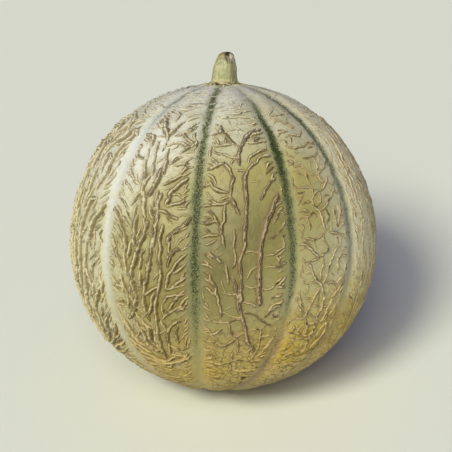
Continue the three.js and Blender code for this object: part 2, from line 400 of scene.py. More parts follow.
lay(0.6, 0.55, (-7, -50.6), (-2, -50.8), (1.6, -50.4), (4, -48.8))
lay(0.6, 0.55, (-6, -53.8), (0, -54), (6, -54))

# %% The finer web on the right of the front, and the rib after it
lay(0.5, 0.45, (30, 42.4), (32, 41.4), (35, 41.2), (39, 41.2), (42, 42.4), (44.6, 43.4))
lay(0.5, 0.45, (32, 45.6), (36, 46.4), (40, 46), (43, 46.8), (45.6, 48))
lay(0.5, 0.45, (36, 36.2), (40, 36.9), (43, 37.1), (45.6, 38.2), (47, 41))
lay(0.55, 0.5, (43.2, 36.6), (42, 34.5), (41.6, 31))
lay(0.5, 0.45, (30, 33.6), (33, 34), (35, 33), (37, 31), (39, 29.4), (40.5, 27.4))
lay(0.5, 0.45, (40.6, 30.5), (44, 31.8), (47, 33.5), (49.4, 34.6))
lay(0.5, 0.45, (41.8, 31), (41, 29.2), (42.2, 27), (43.6, 26.4))
lay(0.5, 0.45, (46, 29.4), (43.8, 26.8), (41.4, 24.6), (38, 24.1), (35.6, 22.4), (34.8, 21))
lay(0.6, 0.55, (34.2, 21.6), (35, 19.4), (36.8, 16.8), (37.2, 14.6), (37.6, 12.2), (38.6, 10))
lay(0.5, 0.45, (47.6, 25), (44.8, 22.4), (42, 20.2), (39.6, 18), (37, 17))
lay(0.5, 0.4, (29.6, 26), (32, 26), (34.4, 25.6), (36, 23))
lay(0.5, 0.45, (45.4, 18.4), (44.4, 15.6), (44.2, 13), (44.6, 10.8))
lay(0.5, 0.4, (47, 18.6), (47.6, 16), (46.4, 13.6), (44.8, 11.2))
lay(0.5, 0.4, (29.8, 20.4), (32, 20.6), (34.6, 21.2))
lay(0.5, 0.4, (30, 15.6), (32.4, 15.9), (34, 16.8), (35.6, 15.2))
lay(0.5, 0.45, (38.6, 9.8), (37, 9.2), (35.6, 8.4), (32.6, 7.4), (30, 8.4))
lay(0.5, 0.45, (38, 9.6), (37.6, 7), (38.8, 4.4), (38.8, 3.2), (37, 2), (35.4, 0.8))
lay(0.5, 0.45, (39.6, 9.6), (43, 9), (46, 8), (48.4, 7), (49, 5.4))
lay(0.5, 0.5, (44.2, 8.4), (43.8, 5.4))
lay(
    0.55, 0.5, (46.6, 6.6), (45.5, 4.8), (42.6, 3.2), (41.3, 1), (39.6, -2), (38.6, -4.5), (38.4, -7),
    (37.2, -8.4),
)
lay(0.5, 0.45, (46, 3), (45, 0), (43.9, -3.2), (44.4, -5.8))
lay(
    0.55, 0.5, (30.4, 0.4), (32.4, -3), (33.8, -6), (35.8, -8), (37, -9.2), (38, -11), (38.9, -13.6),
    (38.8, -18), (38.6, -22.8),
)
lay(0.5, 0.4, (30, 0), (33, 0.6), (35.4, 0.8))
lay(0.55, 0.5, (36.6, -9.4), (35, -11.6), (34, -14.8), (33, -18), (32.4, -21))
lay(0.5, 0.4, (29.6, -7.6), (33, -7.6), (35, -7.8))
lay(0.5, 0.45, (48.4, -6), (45.6, -7.4), (43.8, -8.6), (41, -8.4), (38.2, -8))
lay(0.55, 0.5, (48.6, -9), (45.4, -12.2), (43.5, -15), (42.4, -18), (42, -21), (41.4, -24))
lay(0.5, 0.4, (43, -9.6), (44.4, -11.4), (45.2, -12.4))
lay(0.5, 0.45, (47, -17.6), (45.2, -20), (43.2, -22.4), (41.6, -23.4))
lay(0.5, 0.4, (30, -13), (34, -13.4))
lay(0.5, 0.4, (33.6, -16), (36.6, -16.8), (38.8, -17), (42.4, -17.4))
lay(0.6, 0.55, (28.6, -21), (30.6, -20.8), (32.6, -21.4), (34, -23.2), (35, -25.2), (35.4, -28.4), tint=0.3)
lay(0.6, 0.55, (26.4, -24.4), (26.6, -22.2), (28.4, -21.2), tint=0.3)
lay(0.5, 0.45, (34.8, -23.9), (38, -23.3), (41.4, -23.5))
lay(0.55, 0.5, (27.4, -27), (31, -27.1), (34, -28.3), (38, -29.3), (41, -30.6))
lay(0.55, 0.5, (31, -30.4), (34, -29.6), (37, -30.6), (39.6, -30))
lay(0.5, 0.42, (67.4, 5), (67.8, -1), (68.4, -7), (67.6, -13))
lay(0.55, 0.45, (72.6, 1), (73.2, -5), (72.2, -12), (70.8, -17))
lay(0.5, 0.42, (71.2, 10), (71.6, 4), (72.2, 1.4))
lay(0.5, 0.42, (65.8, 26), (67.4, 20), (69.4, 14.6), (71, 10.4))
lay(0.55, 0.45, (75.8, 22), (76.6, 14), (76.2, 8), (77.4, 0), (77, -8), (75.4, -15))
lay(0.5, 0.42, (65, 10), (65.2, 4), (66.2, -2))
lay(0.55, 0.45, (80.6, 18), (81, 6), (81.4, -6), (79.6, -16))
lay(0.5, 0.42, (70.4, 34), (71.6, 26), (73.6, 19), (74, 12))

# %% The rib at the left edge
lay(0.9, 0.9, (-74.4, 41), (-72.4, 35), (-70, 29.6))
lay(1.0, 0.95, (-72, 22), (-71.6, 16), (-72.2, 9.4), (-73.4, 4.6))
lay(1.0, 0.95, (-69.4, 6), (-68.9, 0), (-69, -5.6), (-70.2, -10), (-72.4, -14))
lay(
    1.0, 0.95, (-57.4, 19.6), (-60.2, 18.4), (-62, 14), (-63.2, 9), (-64, 3), (-64.2, -3), (-65.2, -8),
    (-67, -13.6),
)
lay(0.95, 0.9, (-57.2, 8.6), (-58.4, 4), (-59.2, 0), (-60, -5), (-61.4, -10), (-63, -15), (-64.6, -18.6))
lay(0.85, 0.85, (-64.7, 31), (-64.4, 24), (-63.9, 18), (-64.2, 14.6))
lay(0.75, 0.75, (-61.6, 37), (-61.2, 33), (-60.4, 29))
lay(0.75, 0.75, (-69.2, 40), (-67.4, 36), (-66.4, 32.6))
lay(0.75, 0.75, (-64.4, 54), (-62.8, 50.6), (-60.8, 47))
lay(0.8, 0.8, (-60, -14), (-59.8, -20), (-60.4, -26), (-62, -31), (-64.6, -35))
lay(0.95, 0.9, (-76.6, 30), (-76, 20), (-76.4, 10), (-77.4, 0), (-77.6, -10), (-76, -18), (-74, -25))
lay(0.9, 0.9, (-80.6, 36), (-80.2, 24), (-80.8, 12), (-81.4, 0), (-81, -12), (-79.4, -22))
lay(0.9, 0.9, (-72.6, -6), (-73.4, -12), (-71.8, -20), (-69, -27))
lay(0.8, 0.8, (-66.6, -16), (-66.4, -22), (-67.2, -28))
print(len(ridges), "ridges laid by hand")

# %% [markdown]
# ### Growing the rest of the net
#
# A seed that lands well clear of the net grows both ways along the strain, one short step at a time, and
# stops where it meets another ridge, so it joins on as real cork does. Each rib has its own manner: some
# strain mostly upright, some wander into a web. Strong ridges are grown first and fine ones fill what is
# left.

# %% Which way the net runs
CELL_STEP = 0.6
JOIN_GAP = 0.8
MANNERS = [
    # slant at the sutures, how far it wanders, spacing, thickness
    (28, 26, 1.0, 1.0),
    (18, 30, 1.3, 0.8),
    (10, 75, 1.15, 0.62),
    (74, 18, 0.95, 0.62),
    (60, 24, 1.0, 0.7),
    (12, 70, 1.2, 0.75),
    (32, 26, 1.0, 1.0),
    (20, 40, 1.05, 0.9),
    (35, 24, 0.95, 1.0),
    (55, 18, 1.2, 1.0),
]
RING_LATITUDES = (46, 62)
LOW_RING_LATITUDES = (30, 46)
SLANT_POWER = 1.2
LOOSENED = 1.3
LOOSENED_FROM = 22
LOOSENED_OVER = 20
CALM_IN_RINGS = 0.6
WANDER_GAIN = 1.6
WANDER_PER_MM = 0.11
ENDS = [float(end) for end in SUTURE_ENDS]


def rib_facts(point):
    """Rib number, place across it from -1 to 1, millimetres to the nearest suture, and latitude."""
    lat = math.asin(max(-1.0, min(1.0, point[2] / RADIUS)))
    lon = math.degrees(math.atan2(point[0], -point[1]))
    turned = (lon - ENDS[0]) % 360 + ENDS[0]
    rib = bisect_right(ENDS, turned) - 1
    width = ENDS[rib + 1] - ENDS[rib]
    along = turned - ENDS[rib]
    away = math.radians(min(along, width - along)) * math.cos(lat) * RADIUS
    return rib, 2 * along / width - 1, away, math.degrees(lat)


def strain_way(point, twist=0.0):
    """The unit vector along which a ridge grows, up towards the nearer suture, turned by a twist."""
    rib, across, _, lat = rib_facts(point)
    slant, wander, _, _ = MANNERS[rib]
    low, high = RING_LATITUDES if lat > 0 else LOW_RING_LATITUDES
    ring = (abs(lat) - low) / (high - low)
    ring = max(0.0, min(1.0, ring))
    steep = (90 + (slant - 90) * abs(across) ** SLANT_POWER) * (1 - ring)
    loose = 1 + LOOSENED * max(0.0, min(1.0, (lat - LOOSENED_FROM) / LOOSENED_OVER))
    sway = noise.noise(Vector(point) * WANDER_PER_MM)
    steep += wander * loose * (1 - CALM_IN_RINGS * ring) * WANDER_GAIN * sway
    angle = math.radians((steep if across > 0 else 180 - steep) + twist)
    lon = math.atan2(point[0], -point[1])
    lat = math.radians(lat)
    east = (math.cos(lon), math.sin(lon), 0.0)
    north = (-math.sin(lat) * math.sin(lon), math.sin(lat) * math.cos(lon), math.cos(lat))
    return [e * math.cos(angle) + n * math.sin(angle) for e, n in zip(east, north)]


# %% A ridge that grows from a seed
BARE_BAND = 2.5
BAND_ENDS = 0.84 * RADIUS


def grow(start, length, senses=(1, -1), twist=0.0):
    """Points of a ridge grown from a start, each way for half its length or until it meets the net."""
    arms = []
    for sense in senses:
        point, before, line = start, None, []
        while len(line) * CELL_STEP < length / len(senses):
            way = strain_way(point, twist)
            turn = sense if before is None else math.copysign(1, sum(a * b for a, b in zip(way, before)))
            way = [turn * w for w in way]
            ahead = [p + CELL_STEP * w for p, w in zip(point, way)]
            size = RADIUS / math.hypot(*ahead)
            ahead = tuple(size * c for c in ahead)
            if rib_facts(ahead)[2] < BARE_BAND and abs(ahead[2]) < BAND_ENDS:
                break
            gap, other = nearest_in_net(ahead)
            if gap < JOIN_GAP:
                line.append(other)
                break
            line.append(ahead)
            point, before = ahead, way
        arms.append(line)
    back = arms[1][::-1] if len(arms) > 1 else []
    return back + [start] + arms[0]


# %% Seeds, from the strongest ridges to the finest
chance = np.random.default_rng(41)
SEED_MARGIN = 0.5
MIDDLE_OF_RIB = 0.6
HEIGHT_SHARE = 0.95
MOST_TINT = 0.25
BARB_SPACING = 1.45


def openness(point):
    """How much wider apart the net lies at a point than the rib's manner says."""
    rib, across, _, lat = rib_facts(point)
    wide = 1.0
    if rib == 1 and across > -0.45:
        wide = 2.0 if -12 < lat < 48 else 1.2
    if rib == 2 and lat > -26:
        wide = 1.15
    if rib == 0 and lat > 18:
        wide = 1.9 if across < -0.3 and lat < 50 else 1.25
    return wide


def sow(count, gap, lengths, half_widths, twist, lowest=-90, highest=90, upright_only=False):
    """Grows ridges from seeds thrown evenly over the rind, where no ridge is nearer than the gap."""
    grown = 0
    for _ in range(count):
        height = chance.uniform(-1, 1)
        lon = chance.uniform(-180, 180)
        length = chance.uniform(*lengths)
        half_width = chance.uniform(*half_widths)
        lat = math.degrees(math.asin(height))
        start = tuple(float(c) for c in direction(lon, lat) * RADIUS)
        rib, across, away, _ = rib_facts(start)
        if not lowest < lat < highest or away < BARE_BAND + SEED_MARGIN:
            continue
        if upright_only and abs(across) > MIDDLE_OF_RIB:
            continue
        if nearest_in_net(start)[0] < gap * MANNERS[rib][2] * openness(start):
            continue
        points = grow(start, length, twist=chance.normal(0, twist))
        if len(points) > 4:
            thick = half_width * MANNERS[rib][3]
            crack = chance.uniform(0.2, 0.9)
            tint = MOST_TINT * chance.uniform() ** 3
            keep_ridge(points, thick, thick * HEIGHT_SHARE, crack, tint)
            grown += 1
    return grown


def sow_barbs():
    """Short ridges that start beside each suture and run down into the rib."""
    grown = 0
    for suture in SUTURES:
        for side in (-1, 1):
            lat = -58.0
            while lat < 60:
                away = chance.uniform(3.0, 4.4)
                lon = suture + side * math.degrees(away / (RADIUS * math.cos(math.radians(lat))))
                start = tuple(float(c) for c in direction(lon, lat) * RADIUS)
                length = chance.uniform(2.6, 7.5)
                half_width = chance.uniform(0.5, 0.8)
                rib = rib_facts(start)[0]
                lat += chance.uniform(1.7, 2.6)
                if nearest_in_net(start)[0] < BARB_SPACING:
                    continue
                points = grow(start, length, senses=(-1,), twist=chance.normal(0, 20))
                if len(points) > 3:
                    thick = half_width * min(1.0, MANNERS[rib][3] + 0.1)
                    keep_ridge(points, thick, thick * HEIGHT_SHARE, chance.uniform(0.2, 0.8), 0.0)
                    grown += 1
    return grown


strong = sow(2600, 3.0, (12, 40), (0.8, 1.1), 8, -46, 48, upright_only=True)
barbs = sow_barbs()
middling = sow(9000, 2.4, (5, 14), (0.6, 0.85), 25, -60, 60)
rings = sow(6000, 1.9, (6, 18), (0.42, 0.55), 6, 58, 80)
rings += sow(5000, 1.9, (4, 12), (0.5, 0.65), 12, -84, -48)
fine = sow(14000, 1.85, (2.5, 6), (0.4, 0.55), 40, -62, 62)
print("grown:", strong, "strong,", barbs, "barbs,", middling, "middling,", rings, "in rings,", fine, "fine")


# %% Veins that run out from the stem
STEM_FOOT_RADIUS = 6.4
VEINS = 17


def add_veins():
    """Short ridges like the spokes of a wheel round the foot of the stem."""
    for i in range(VEINS):
        lon = 360 * (i + chance.uniform(-0.3, 0.3)) / VEINS
        near = math.degrees(math.acos((STEM_FOOT_RADIUS - 0.6) / RADIUS))
        far = math.degrees(math.acos((STEM_FOOT_RADIUS + chance.uniform(2.5, 7.5)) / RADIUS))
        bend = chance.uniform(-6, 6)
        lay(0.6, 0.55, (lon, near), (lon + bend / 2, (near + far) / 2), (lon + bend, far), crack=0.2)


add_veins()
net_length = sum(len(ridge[0]) for ridge in ridges) * CELL_STEP * MM
print(len(ridges), "ridges in the net,", round(net_length, 1), "m long")

# %% [markdown]
# ### From lines to relief
#
# Each ridge is drawn onto the mesh as a low dome across its line: high in the middle, and steep where it meets
# the skin. Where two ridges lie close, the higher one wins. Besides its height, each point of the mesh keeps how
# far to the side of the ridge's middle line it is, so that the finish can draw cracks along the crests later.
# The lines waver by Blender's vector noise. It starts from the clock unless it is given a seed, so it gets one,
# and every run gives the same rind.

# %% Samples along every ridge
NOISE_SEED = 7
SAMPLE_STEP = 0.26
WANDER_SIZE = 3.4
WANDER = 0.55
CRINKLE_SIZE = 1.3
CRINKLE = 0.22
SWELL_SIZE = 2.1
KNOT_SIZE = 0.9
TAPER = 2.4
TALLER = 1.5
FLAT_BELOW = (-0.86, -0.5)
FLAT_ABOVE = (0.75, 0.9)
FLAT_SIDE = (50, 62, 125, 140)


def ridge_samples():
    """Centres, tangents and the sizes of every ridge, at close steps along all of them."""
    rows = []
    for points, half_width, height, crack, tint in ridges:
        line = smooth_line(points, SAMPLE_STEP) if len(points) > 1 else points
        spots = [Vector(p) for p in line]
        shift = np.array([noise.noise_vector(p / WANDER_SIZE) for p in spots])
        crinkle = np.array([noise.noise_vector(p / CRINKLE_SIZE) for p in spots])
        swell = np.array([noise.noise(p / SWELL_SIZE + Vector((7, 3, 5))) for p in spots])
        knots = np.array([noise.noise(p / KNOT_SIZE + Vector((2, 9, 4))) for p in spots])
        line = line + WANDER * shift + CRINKLE * crinkle
        line *= (RADIUS / np.linalg.norm(line, axis=1))[:, None]
        ahead = np.gradient(line, axis=0)
        ahead /= np.maximum(np.linalg.norm(ahead, axis=1), 1e-9)[:, None]
        along = np.arange(len(line)) * SAMPLE_STEP
        end = np.minimum(along, along[-1] - along)
        taper = np.clip((end + 0.25) / TAPER, 0, 1) ** 0.6
        wide = half_width * (0.3 + 0.7 * taper) * (1 + 0.4 * swell + 0.25 * knots)
        z = line[:, 2] / RADIUS
        flatter = (0.45 + 0.55 * smooth(z, *FLAT_BELOW)) * (1 - 0.4 * smooth(z, *FLAT_ABOVE))
        line_lon, _ = lon_lat(line)
        flatter *= 1 - 0.45 * smooth(line_lon, *FLAT_SIDE[:2]) * (1 - smooth(line_lon, *FLAT_SIDE[2:]))
        tall = TALLER * height * (0.25 + 0.75 * taper) * (1 + 0.45 * swell + 0.3 * knots) * flatter
        same = np.ones(len(line))
        rows.append(np.column_stack([line, ahead, wide, tall, crack * same, tint * same]))
    return np.vstack(rows)


noise.seed_set(NOISE_SEED)
samples = ridge_samples()
centres, tangents = samples[:, :3], samples[:, 3:6]
sample_width, sample_height, sample_crack, sample_tint = samples[:, 6:].T
print(len(samples), "samples along the ridges")

# %% Draw the samples onto the mesh
REACH = 1.5
WINDOW = 5


def draw_net():
    """For every point of the mesh, the sample whose ridge stands highest there, and how high it stands."""
    places = ball * RADIUS
    window = range(-WINDOW, WINDOW + 1)
    found = []
    for face, grid in enumerate(grids):
        axis = face // 2
        sign = 1 if face % 2 else -1
        u_axis, v_axis = (1, 2) if sign > 0 else (2, 1)
        depth = sign * centres[:, axis]
        ahead = depth > 0.5 * RADIUS
        picked = np.flatnonzero(ahead)
        u = np.arctan(centres[picked, (axis + u_axis) % 3] / depth[picked]) / (math.pi / 4)
        v = np.arctan(centres[picked, (axis + v_axis) % 3] / depth[picked]) / (math.pi / 4)
        u = np.rint((u + 1) / 2 * FACE_STEPS).astype(int)
        v = np.rint((v + 1) / 2 * FACE_STEPS).astype(int)
        for du in window:
            for dv in window:
                uu, vv = u + du, v + dv
                inside = (uu >= 0) & (uu <= FACE_STEPS) & (vv >= 0) & (vv <= FACE_STEPS)
                point = face_ids[face, uu[inside], vv[inside]]
                sample = picked[inside]
                gap = np.linalg.norm(places[point] - centres[sample], axis=1) / sample_width[sample]
                near = gap < REACH
                score = sample_height[sample[near]] * (1 - gap[near] ** 2)
                found.append(np.column_stack([point[near], sample[near], score]))
    found = np.vstack(found)
    found = found[np.argsort(found[:, 2], kind="stable")]
    best_sample = np.full(len(ball), -1)
    best_score = np.full(len(ball), -1.0)
    best_sample[found[:, 0].astype(int)] = found[:, 1].astype(int)
    best_score[found[:, 0].astype(int)] = found[:, 2]
    return best_sample, best_score


best_sample, best_score = draw_net()
on_net = best_sample >= 0
net_height = np.where(on_net, np.maximum(best_score, 0), 0)
print(round(100 * np.mean(net_height > 0.05)), "% of the rind is ridge")

# %% How far each point is to the side of its ridge
FAR_FROM_RIDGE = 3.0
USUAL_HALF_WIDTH = 0.6
picked = best_sample[on_net]
offset = ball[on_net] * RADIUS - centres[picked]
across = np.cross(ball[on_net], tangents[picked])
net_side = np.full(len(ball), FAR_FROM_RIDGE)
net_side[on_net] = np.sum(offset * across, axis=1)
net_width = np.full(len(ball), USUAL_HALF_WIDTH)
net_width[on_net] = sample_width[picked]
net_crack = np.zeros(len(ball))
net_crack[on_net] = sample_crack[picked]
net_tint = np.zeros(len(ball))
net_tint[on_net] = sample_tint[picked]

# %% [markdown]
# Where ridges crowd together, dust gathers and the ground between them is painted darker as shade. So each
# point also keeps how much of the small square round it is ridge. Running sums over each face of the cube
# give that for all the points at once.

# %% How crowded the net is round each point
CROWD_CELLS = 6
ON_RIDGE_HEIGHT = 0.12


def crowding(values):
    """The average of a value over a small square round each point of the cube's faces."""
    total = np.zeros(len(ball))
    count = np.zeros(len(ball))
    side = 2 * CROWD_CELLS + 1
    for ids in face_ids:
        padded = np.pad(values[ids], CROWD_CELLS, mode="edge")
        sums = np.pad(padded.cumsum(0).cumsum(1), ((1, 0), (1, 0)))
        square = sums[side:, side:] - sums[:-side, side:] - sums[side:, :-side] + sums[:-side, :-side]
        np.add.at(total, ids, square / side**2)
        np.add.at(count, ids, 1)
    return total / count


net_crowd = crowding((net_height > ON_RIDGE_HEIGHT).astype(float))
print("crowding from", round(net_crowd.min(), 2), "to", round(net_crowd.max(), 2))

# %% [markdown]
# ## The rind's mesh
#
# The plain rind is made first and its normals are read. Then every point moves out along its normal by the
# height of the net there and by the slight unevenness of the skin. The whole fruit leans back, and what
# would reach below the surface that it rests on is pressed flat.

# %% How far each point of the rind moves out
UNEVENNESS = 0.16
CORK_ROUGHNESS = 0.10
BLOSSOM_DIP = 0.7
BLOSSOM_RADII = (3, 9)
places = rind_places(ball)
uneven = np.array([noise.noise(Vector(p) * 0.16) + 0.5 * noise.noise(Vector(p) * 0.4) for p in places])
rough = np.array([noise.noise(Vector(p) * 1.9) for p in places])
from_axis = np.hypot(ball[:, 0], ball[:, 1]) * RADIUS
at_blossom = (ball[:, 2] < 0) * (1 - smooth(from_axis, *BLOSSOM_RADII))
lift = net_height + UNEVENNESS * uneven + CORK_ROUGHNESS * rough * smooth(net_height, 0.1, 0.5)
lift -= BLOSSOM_DIP * at_blossom
print("the rind moves out by", round(lift.min(), 2), "to", round(lift.max(), 2), "mm")


# %% Build the rind
def mesh_from(name, points, faces):
    """A smooth mesh from arrays of points, in metres, and of four-sided faces."""
    mesh = bpy.data.meshes.new(name)
    mesh.vertices.add(len(points))
    mesh.vertices.foreach_set("co", np.asarray(points, np.float32).ravel())
    mesh.loops.add(faces.size)
    mesh.loops.foreach_set("vertex_index", faces.astype(np.int32).ravel())
    mesh.polygons.add(len(faces))
    mesh.polygons.foreach_set("loop_start", np.arange(0, faces.size, 4, dtype=np.int32))
    mesh.update(calc_edges=True)
    mesh.polygons.foreach_set("use_smooth", np.ones(len(faces), bool))
    return mesh


def normals_of(mesh):
    values = np.empty(len(mesh.vertices) * 3, np.float32)
    mesh.vertex_normals.foreach_get("vector", values)
    return values.reshape(-1, 3)


def stand(points):
    """Points of an upright fruit, in millimetres about its middle, as they stand in the frame."""
    x, y, z = points.T
    cos, sin = math.cos(LEAN), math.sin(LEAN)
    return np.column_stack([x, y * cos + z * sin, MIDDLE_HEIGHT - y * sin + z * cos]) * MM


rind_mesh = mesh_from("rind", places * MM, quads)
gap = np.abs(stand(places).max(0) - fruit_high).max() / MM
print("the plain rind's box ends within", round(gap, 2), "mm of the frame's fruit")
places = places + normals_of(rind_mesh) * lift[:, None]
standing = stand(places)
standing[:, 2] = np.maximum(standing[:, 2], 0)
rind_mesh.vertices.foreach_set("co", standing.astype(np.float32).ravel())
rind_mesh.update()
rind = bpy.data.objects.new("netted_rind", rind_mesh)
bpy.context.scene.collection.objects.link(rind)
print("rind from", standing.min(0).round(4), "to", standing.max(0).round(4))

# %% Lay the six faces out flat
CHART_MARGIN = 0.01


def cube_layout():
    """A flat layout of the cube's faces, three across and two up, for every corner of every quad."""
    steps = np.arange(FACE_STEPS)
    i, j = np.meshgrid(steps, steps, indexing="ij")
    corner_i = np.stack([i, i + 1, i + 1, i], -1) / FACE_STEPS
    corner_j = np.stack([j, j, j + 1, j + 1], -1) / FACE_STEPS
    inset = CHART_MARGIN + (1 - 2 * CHART_MARGIN) * np.stack([corner_i, corner_j], -1)
    charts = [(inset + (face % 3, face // 3)) / (3, 2) for face in range(6)]
    return np.concatenate([chart.reshape(-1, 2) for chart in charts])


layout = rind_mesh.uv_layers.new(name="OFBake")
layout.uv.foreach_set("vector", cube_layout().astype(np.float32).ravel())
print("six charts, each", FACE_STEPS, "faces wide")

# %% [markdown]
# ## Marks on the rind
#
# The finish needs to know where it is on the fruit: how near a suture, how green that suture is at this
# height, where the sun has ripened the skin yellow, and where light is painted onto the skin. Such broad
# masks are worked out once for every point of the mesh, and stored on it as named values. The finish breaks
# them up with fine noise, so no mask shows its smooth edge.

# %% How each suture changes from the stem end to the blossom end
SUTURE_LATITUDES = [-62, -45, -30, -15, 0, 20, 40, 55, 70, 84]
SUTURE_GREEN = [
    [0.0, 0.0, 0.05, 0.05, 0.05, 0.05, 0.1, 0.3, 0.4, 0.3],
    [0.1, 0.28, 0.4, 0.65, 1.0, 0.95, 0.6, 0.5, 0.6, 0.35],
    [0.0, 0.0, 0.15, 0.5, 0.68, 0.84, 1.0, 0.6, 0.35, 0.2],
    [0.0, 0.0, 0.0, 0.15, 0.38, 0.48, 0.5, 0.55, 0.45, 0.25],
    [0.0, 0.0, 0.1, 0.3, 0.5, 0.7, 0.8, 0.8, 0.7, 0.4],
    [0.0, 0.05, 0.2, 0.6, 0.8, 0.9, 0.8, 0.7, 0.8, 0.5],
    [0.0, 0.0, 0.1, 0.2, 0.2, 0.3, 0.4, 0.6, 0.7, 0.4],
    [0.0, 0.1, 0.3, 0.7, 0.9, 0.9, 0.9, 0.8, 0.8, 0.5],
    [0.0, 0.0, 0.1, 0.4, 0.7, 0.8, 0.7, 0.7, 0.8, 0.5],
    [0.0, 0.0, 0.1, 0.3, 0.4, 0.5, 0.6, 0.7, 0.8, 0.5],
]
SUTURE_SCAR = [
    [0.3, 0.0, 0.0, 0.0, 0.0, 0.0, 0.0, 0.0, 0.0, 0.0],
    [0.2, 0.0, 0.0, 0.0, 0.0, 0.0, 0.0, 0.0, 0.0, 0.0],
    [0.9, 1.0, 0.9, 0.1, 0.0, 0.0, 0.0, 0.0, 0.0, 0.0],
    [0.6, 0.9, 0.8, 0.1, 0.0, 0.0, 0.0, 0.0, 0.0, 0.0],
    [0.5, 0.5, 0.2, 0.0, 0.0, 0.0, 0.0, 0.0, 0.0, 0.0],
    [0.3, 0.0, 0.0, 0.0, 0.0, 0.0, 0.0, 0.0, 0.0, 0.0],
    [0.7, 0.8, 0.5, 0.0, 0.0, 0.0, 0.0, 0.0, 0.0, 0.0],
    [0.3, 0.0, 0.0, 0.0, 0.0, 0.0, 0.0, 0.0, 0.0, 0.0],
    [0.4, 0.2, 0.0, 0.0, 0.0, 0.0, 0.0, 0.0, 0.0, 0.0],
    [0.5, 0.3, 0.0, 0.0, 0.0, 0.0, 0.0, 0.0, 0.0, 0.0],
]
SUTURE_SPREAD = [2.3, 2.2, 2.0, 2.5, 1.8, 2.0, 2.1, 1.9, 2.0, 2.0]
SUTURE_HALO = [1.0, 0.7, 0.7, 0.85, 0.6, 0.5, 0.9, 0.5, 0.6, 0.7]

lon, lat = lon_lat(ball)
rib, along, width = place_on_rib(lon)
nearer_next = along > width / 2
nearest = (rib + nearer_next) % len(SUTURES)
suture_side = np.radians(np.where(nearer_next, along - width, along)) * np.cos(np.radians(lat)) * RADIUS
green, scar = np.zeros(len(ball)), np.zeros(len(ball))
for i in range(len(SUTURES)):
    mine = nearest == i
    green[mine] = np.interp(lat[mine], SUTURE_LATITUDES, SUTURE_GREEN[i])
    scar[mine] = np.interp(lat[mine], SUTURE_LATITUDES, SUTURE_SCAR[i])
spread = np.take(SUTURE_SPREAD, nearest)
print("suture marks laid; greenest", round(green.max(), 2), "most scarred", round(scar.max(), 2))


# %% Ripeness, painted light and other broad marks
def patch(at_lon, at_lat, size):
    """1 at a place on the rind, falling to 0 with distance; the size is in degrees."""
    cosine = ball @ direction(at_lon, at_lat)
    return np.exp(-((np.degrees(np.arccos(np.clip(cosine, -1, 1))) / size) ** 2))


def patches(*rows):
    """The sum of patches, each given as its strength, longitude, latitude and size."""
    return sum(strength * patch(at_lon, at_lat, size) for strength, at_lon, at_lat, size in rows)


turned_lon = np.mod(lon + 180, 360) - 180
ripe = patches((0.95, 35, -34, 12), (0.75, 55, -22, 14), (0.6, 62, -34, 15), (0.5, 12, -48, 18))
ripe += patches((0.5, 170, -40, 22), (0.35, 250, -15, 16), (0.3, -25, -55, 16))
cream = 0.15 + 0.7 * smooth(lat, 8, 48) + 0.5 * smooth(-turned_lon, 22, 60) * smooth(lat, -50, 0)
cream += patches((0.3, 120, 20, 35), (-0.6, 8, 26, 18), (0.25, 54, 0, 22), (-0.4, 34, 33, 16))
cream += patches((0.6, -64, -34, 18), (-0.3, -20, 24, 14), (-0.3, 34, 60, 12))
# Painted highlight: the shoulder at the upper left and the top round the stem are painted lighter, standing in
# for the gloss and light of the lamps there.
painted_highlight = patches((0.9, -40, 44, 15), (0.4, -36, 26, 12), (0.5, 0, 70, 9))
painted_highlight += 0.75 * smooth(lat, 56, 74) * (1 - 0.9 * patch(35, 66, 14))
# Painted fill light: the right side, and patches low on the right, are painted lighter and yellower, standing in
# for light that the lamps don't bring there.
painted_fill = 0.95 * smooth(turned_lon, 37, 56) * (1 - smooth(turned_lon, 100, 130))
painted_fill += patches((0.4, 56, -14, 19), (0.7, 48, -36, 15), (0.6, 68, -30, 16), (0.5, 34, -48, 12))
painted_fill = np.clip(painted_fill, 0, 1) * (1 - 0.85 * patch(58, -62, 18))
browned = 0.9 * smooth(turned_lon, 14, 30) * (1 - smooth(turned_lon, 95, 115))
browned = np.maximum(browned, 0.85 * (1 - smooth(lat, -32, -12)) * smooth(turned_lon, -8, 8))
browned = np.maximum(browned, 0.5 * patch(12, 10, 20))
dusk = patches((0.85, -2, 2, 20), (0.45, -18, -14, 16), (0.5, 14, 14, 16), (0.3, 6, -25, 16))
dusk += patches((0.4, 150, 0, 24), (0.3, 230, 10, 20), (0.8, 60, -62, 16))
spots = patches((0.9, -30, 84.2, 1.5), (0.8, -6, 84, 1.2), (0.9, 10, 83.8, 1.4), (0.9, 52, 84.5, 1.5))
spots += patches((0.9, 16.6, -51.6, 1.3), (0.7, 18.4, -57.4, 1.0), (0.6, 49.6, -33.6, 1.1))
print("most ripe", round(ripe.max(), 2), "most dusky", round(dusk.max(), 2))

# %% Store the marks on the mesh
MARKS = {
    "net_height": net_height,
    "net_side": net_side,
    "net_width": net_width,
    "net_crack": net_crack,
    "net_tint": net_tint,
    "net_crowd": net_crowd,
    "low": 1 - smooth(lat, -50, 5),
    "suture_side": suture_side,
    "suture_spread": spread,
    "suture_halo": np.take(SUTURE_HALO, nearest) * (0.45 + 0.55 * smooth(lat, -45, 10)),
    "suture_green": green,
    "suture_scar": scar,
    "ripe": np.clip(ripe, 0, 1),
    "cream": np.clip(cream, 0, 1),
    "dusk": np.clip(dusk, 0, 1),
    "painted_highlight": np.clip(painted_highlight, 0, 1),
    "painted_fill": np.clip(painted_fill, 0, 1),
    "browned": np.clip(browned, 0, 1),
    "upper": smooth(lat, 18, 48),
    "top": smooth(lat, 50, 66),
    "spots": spots,
    "stem_gap": np.where(ball[:, 2] > 0, from_axis, 60.0),
    "blossom": at_blossom,
}
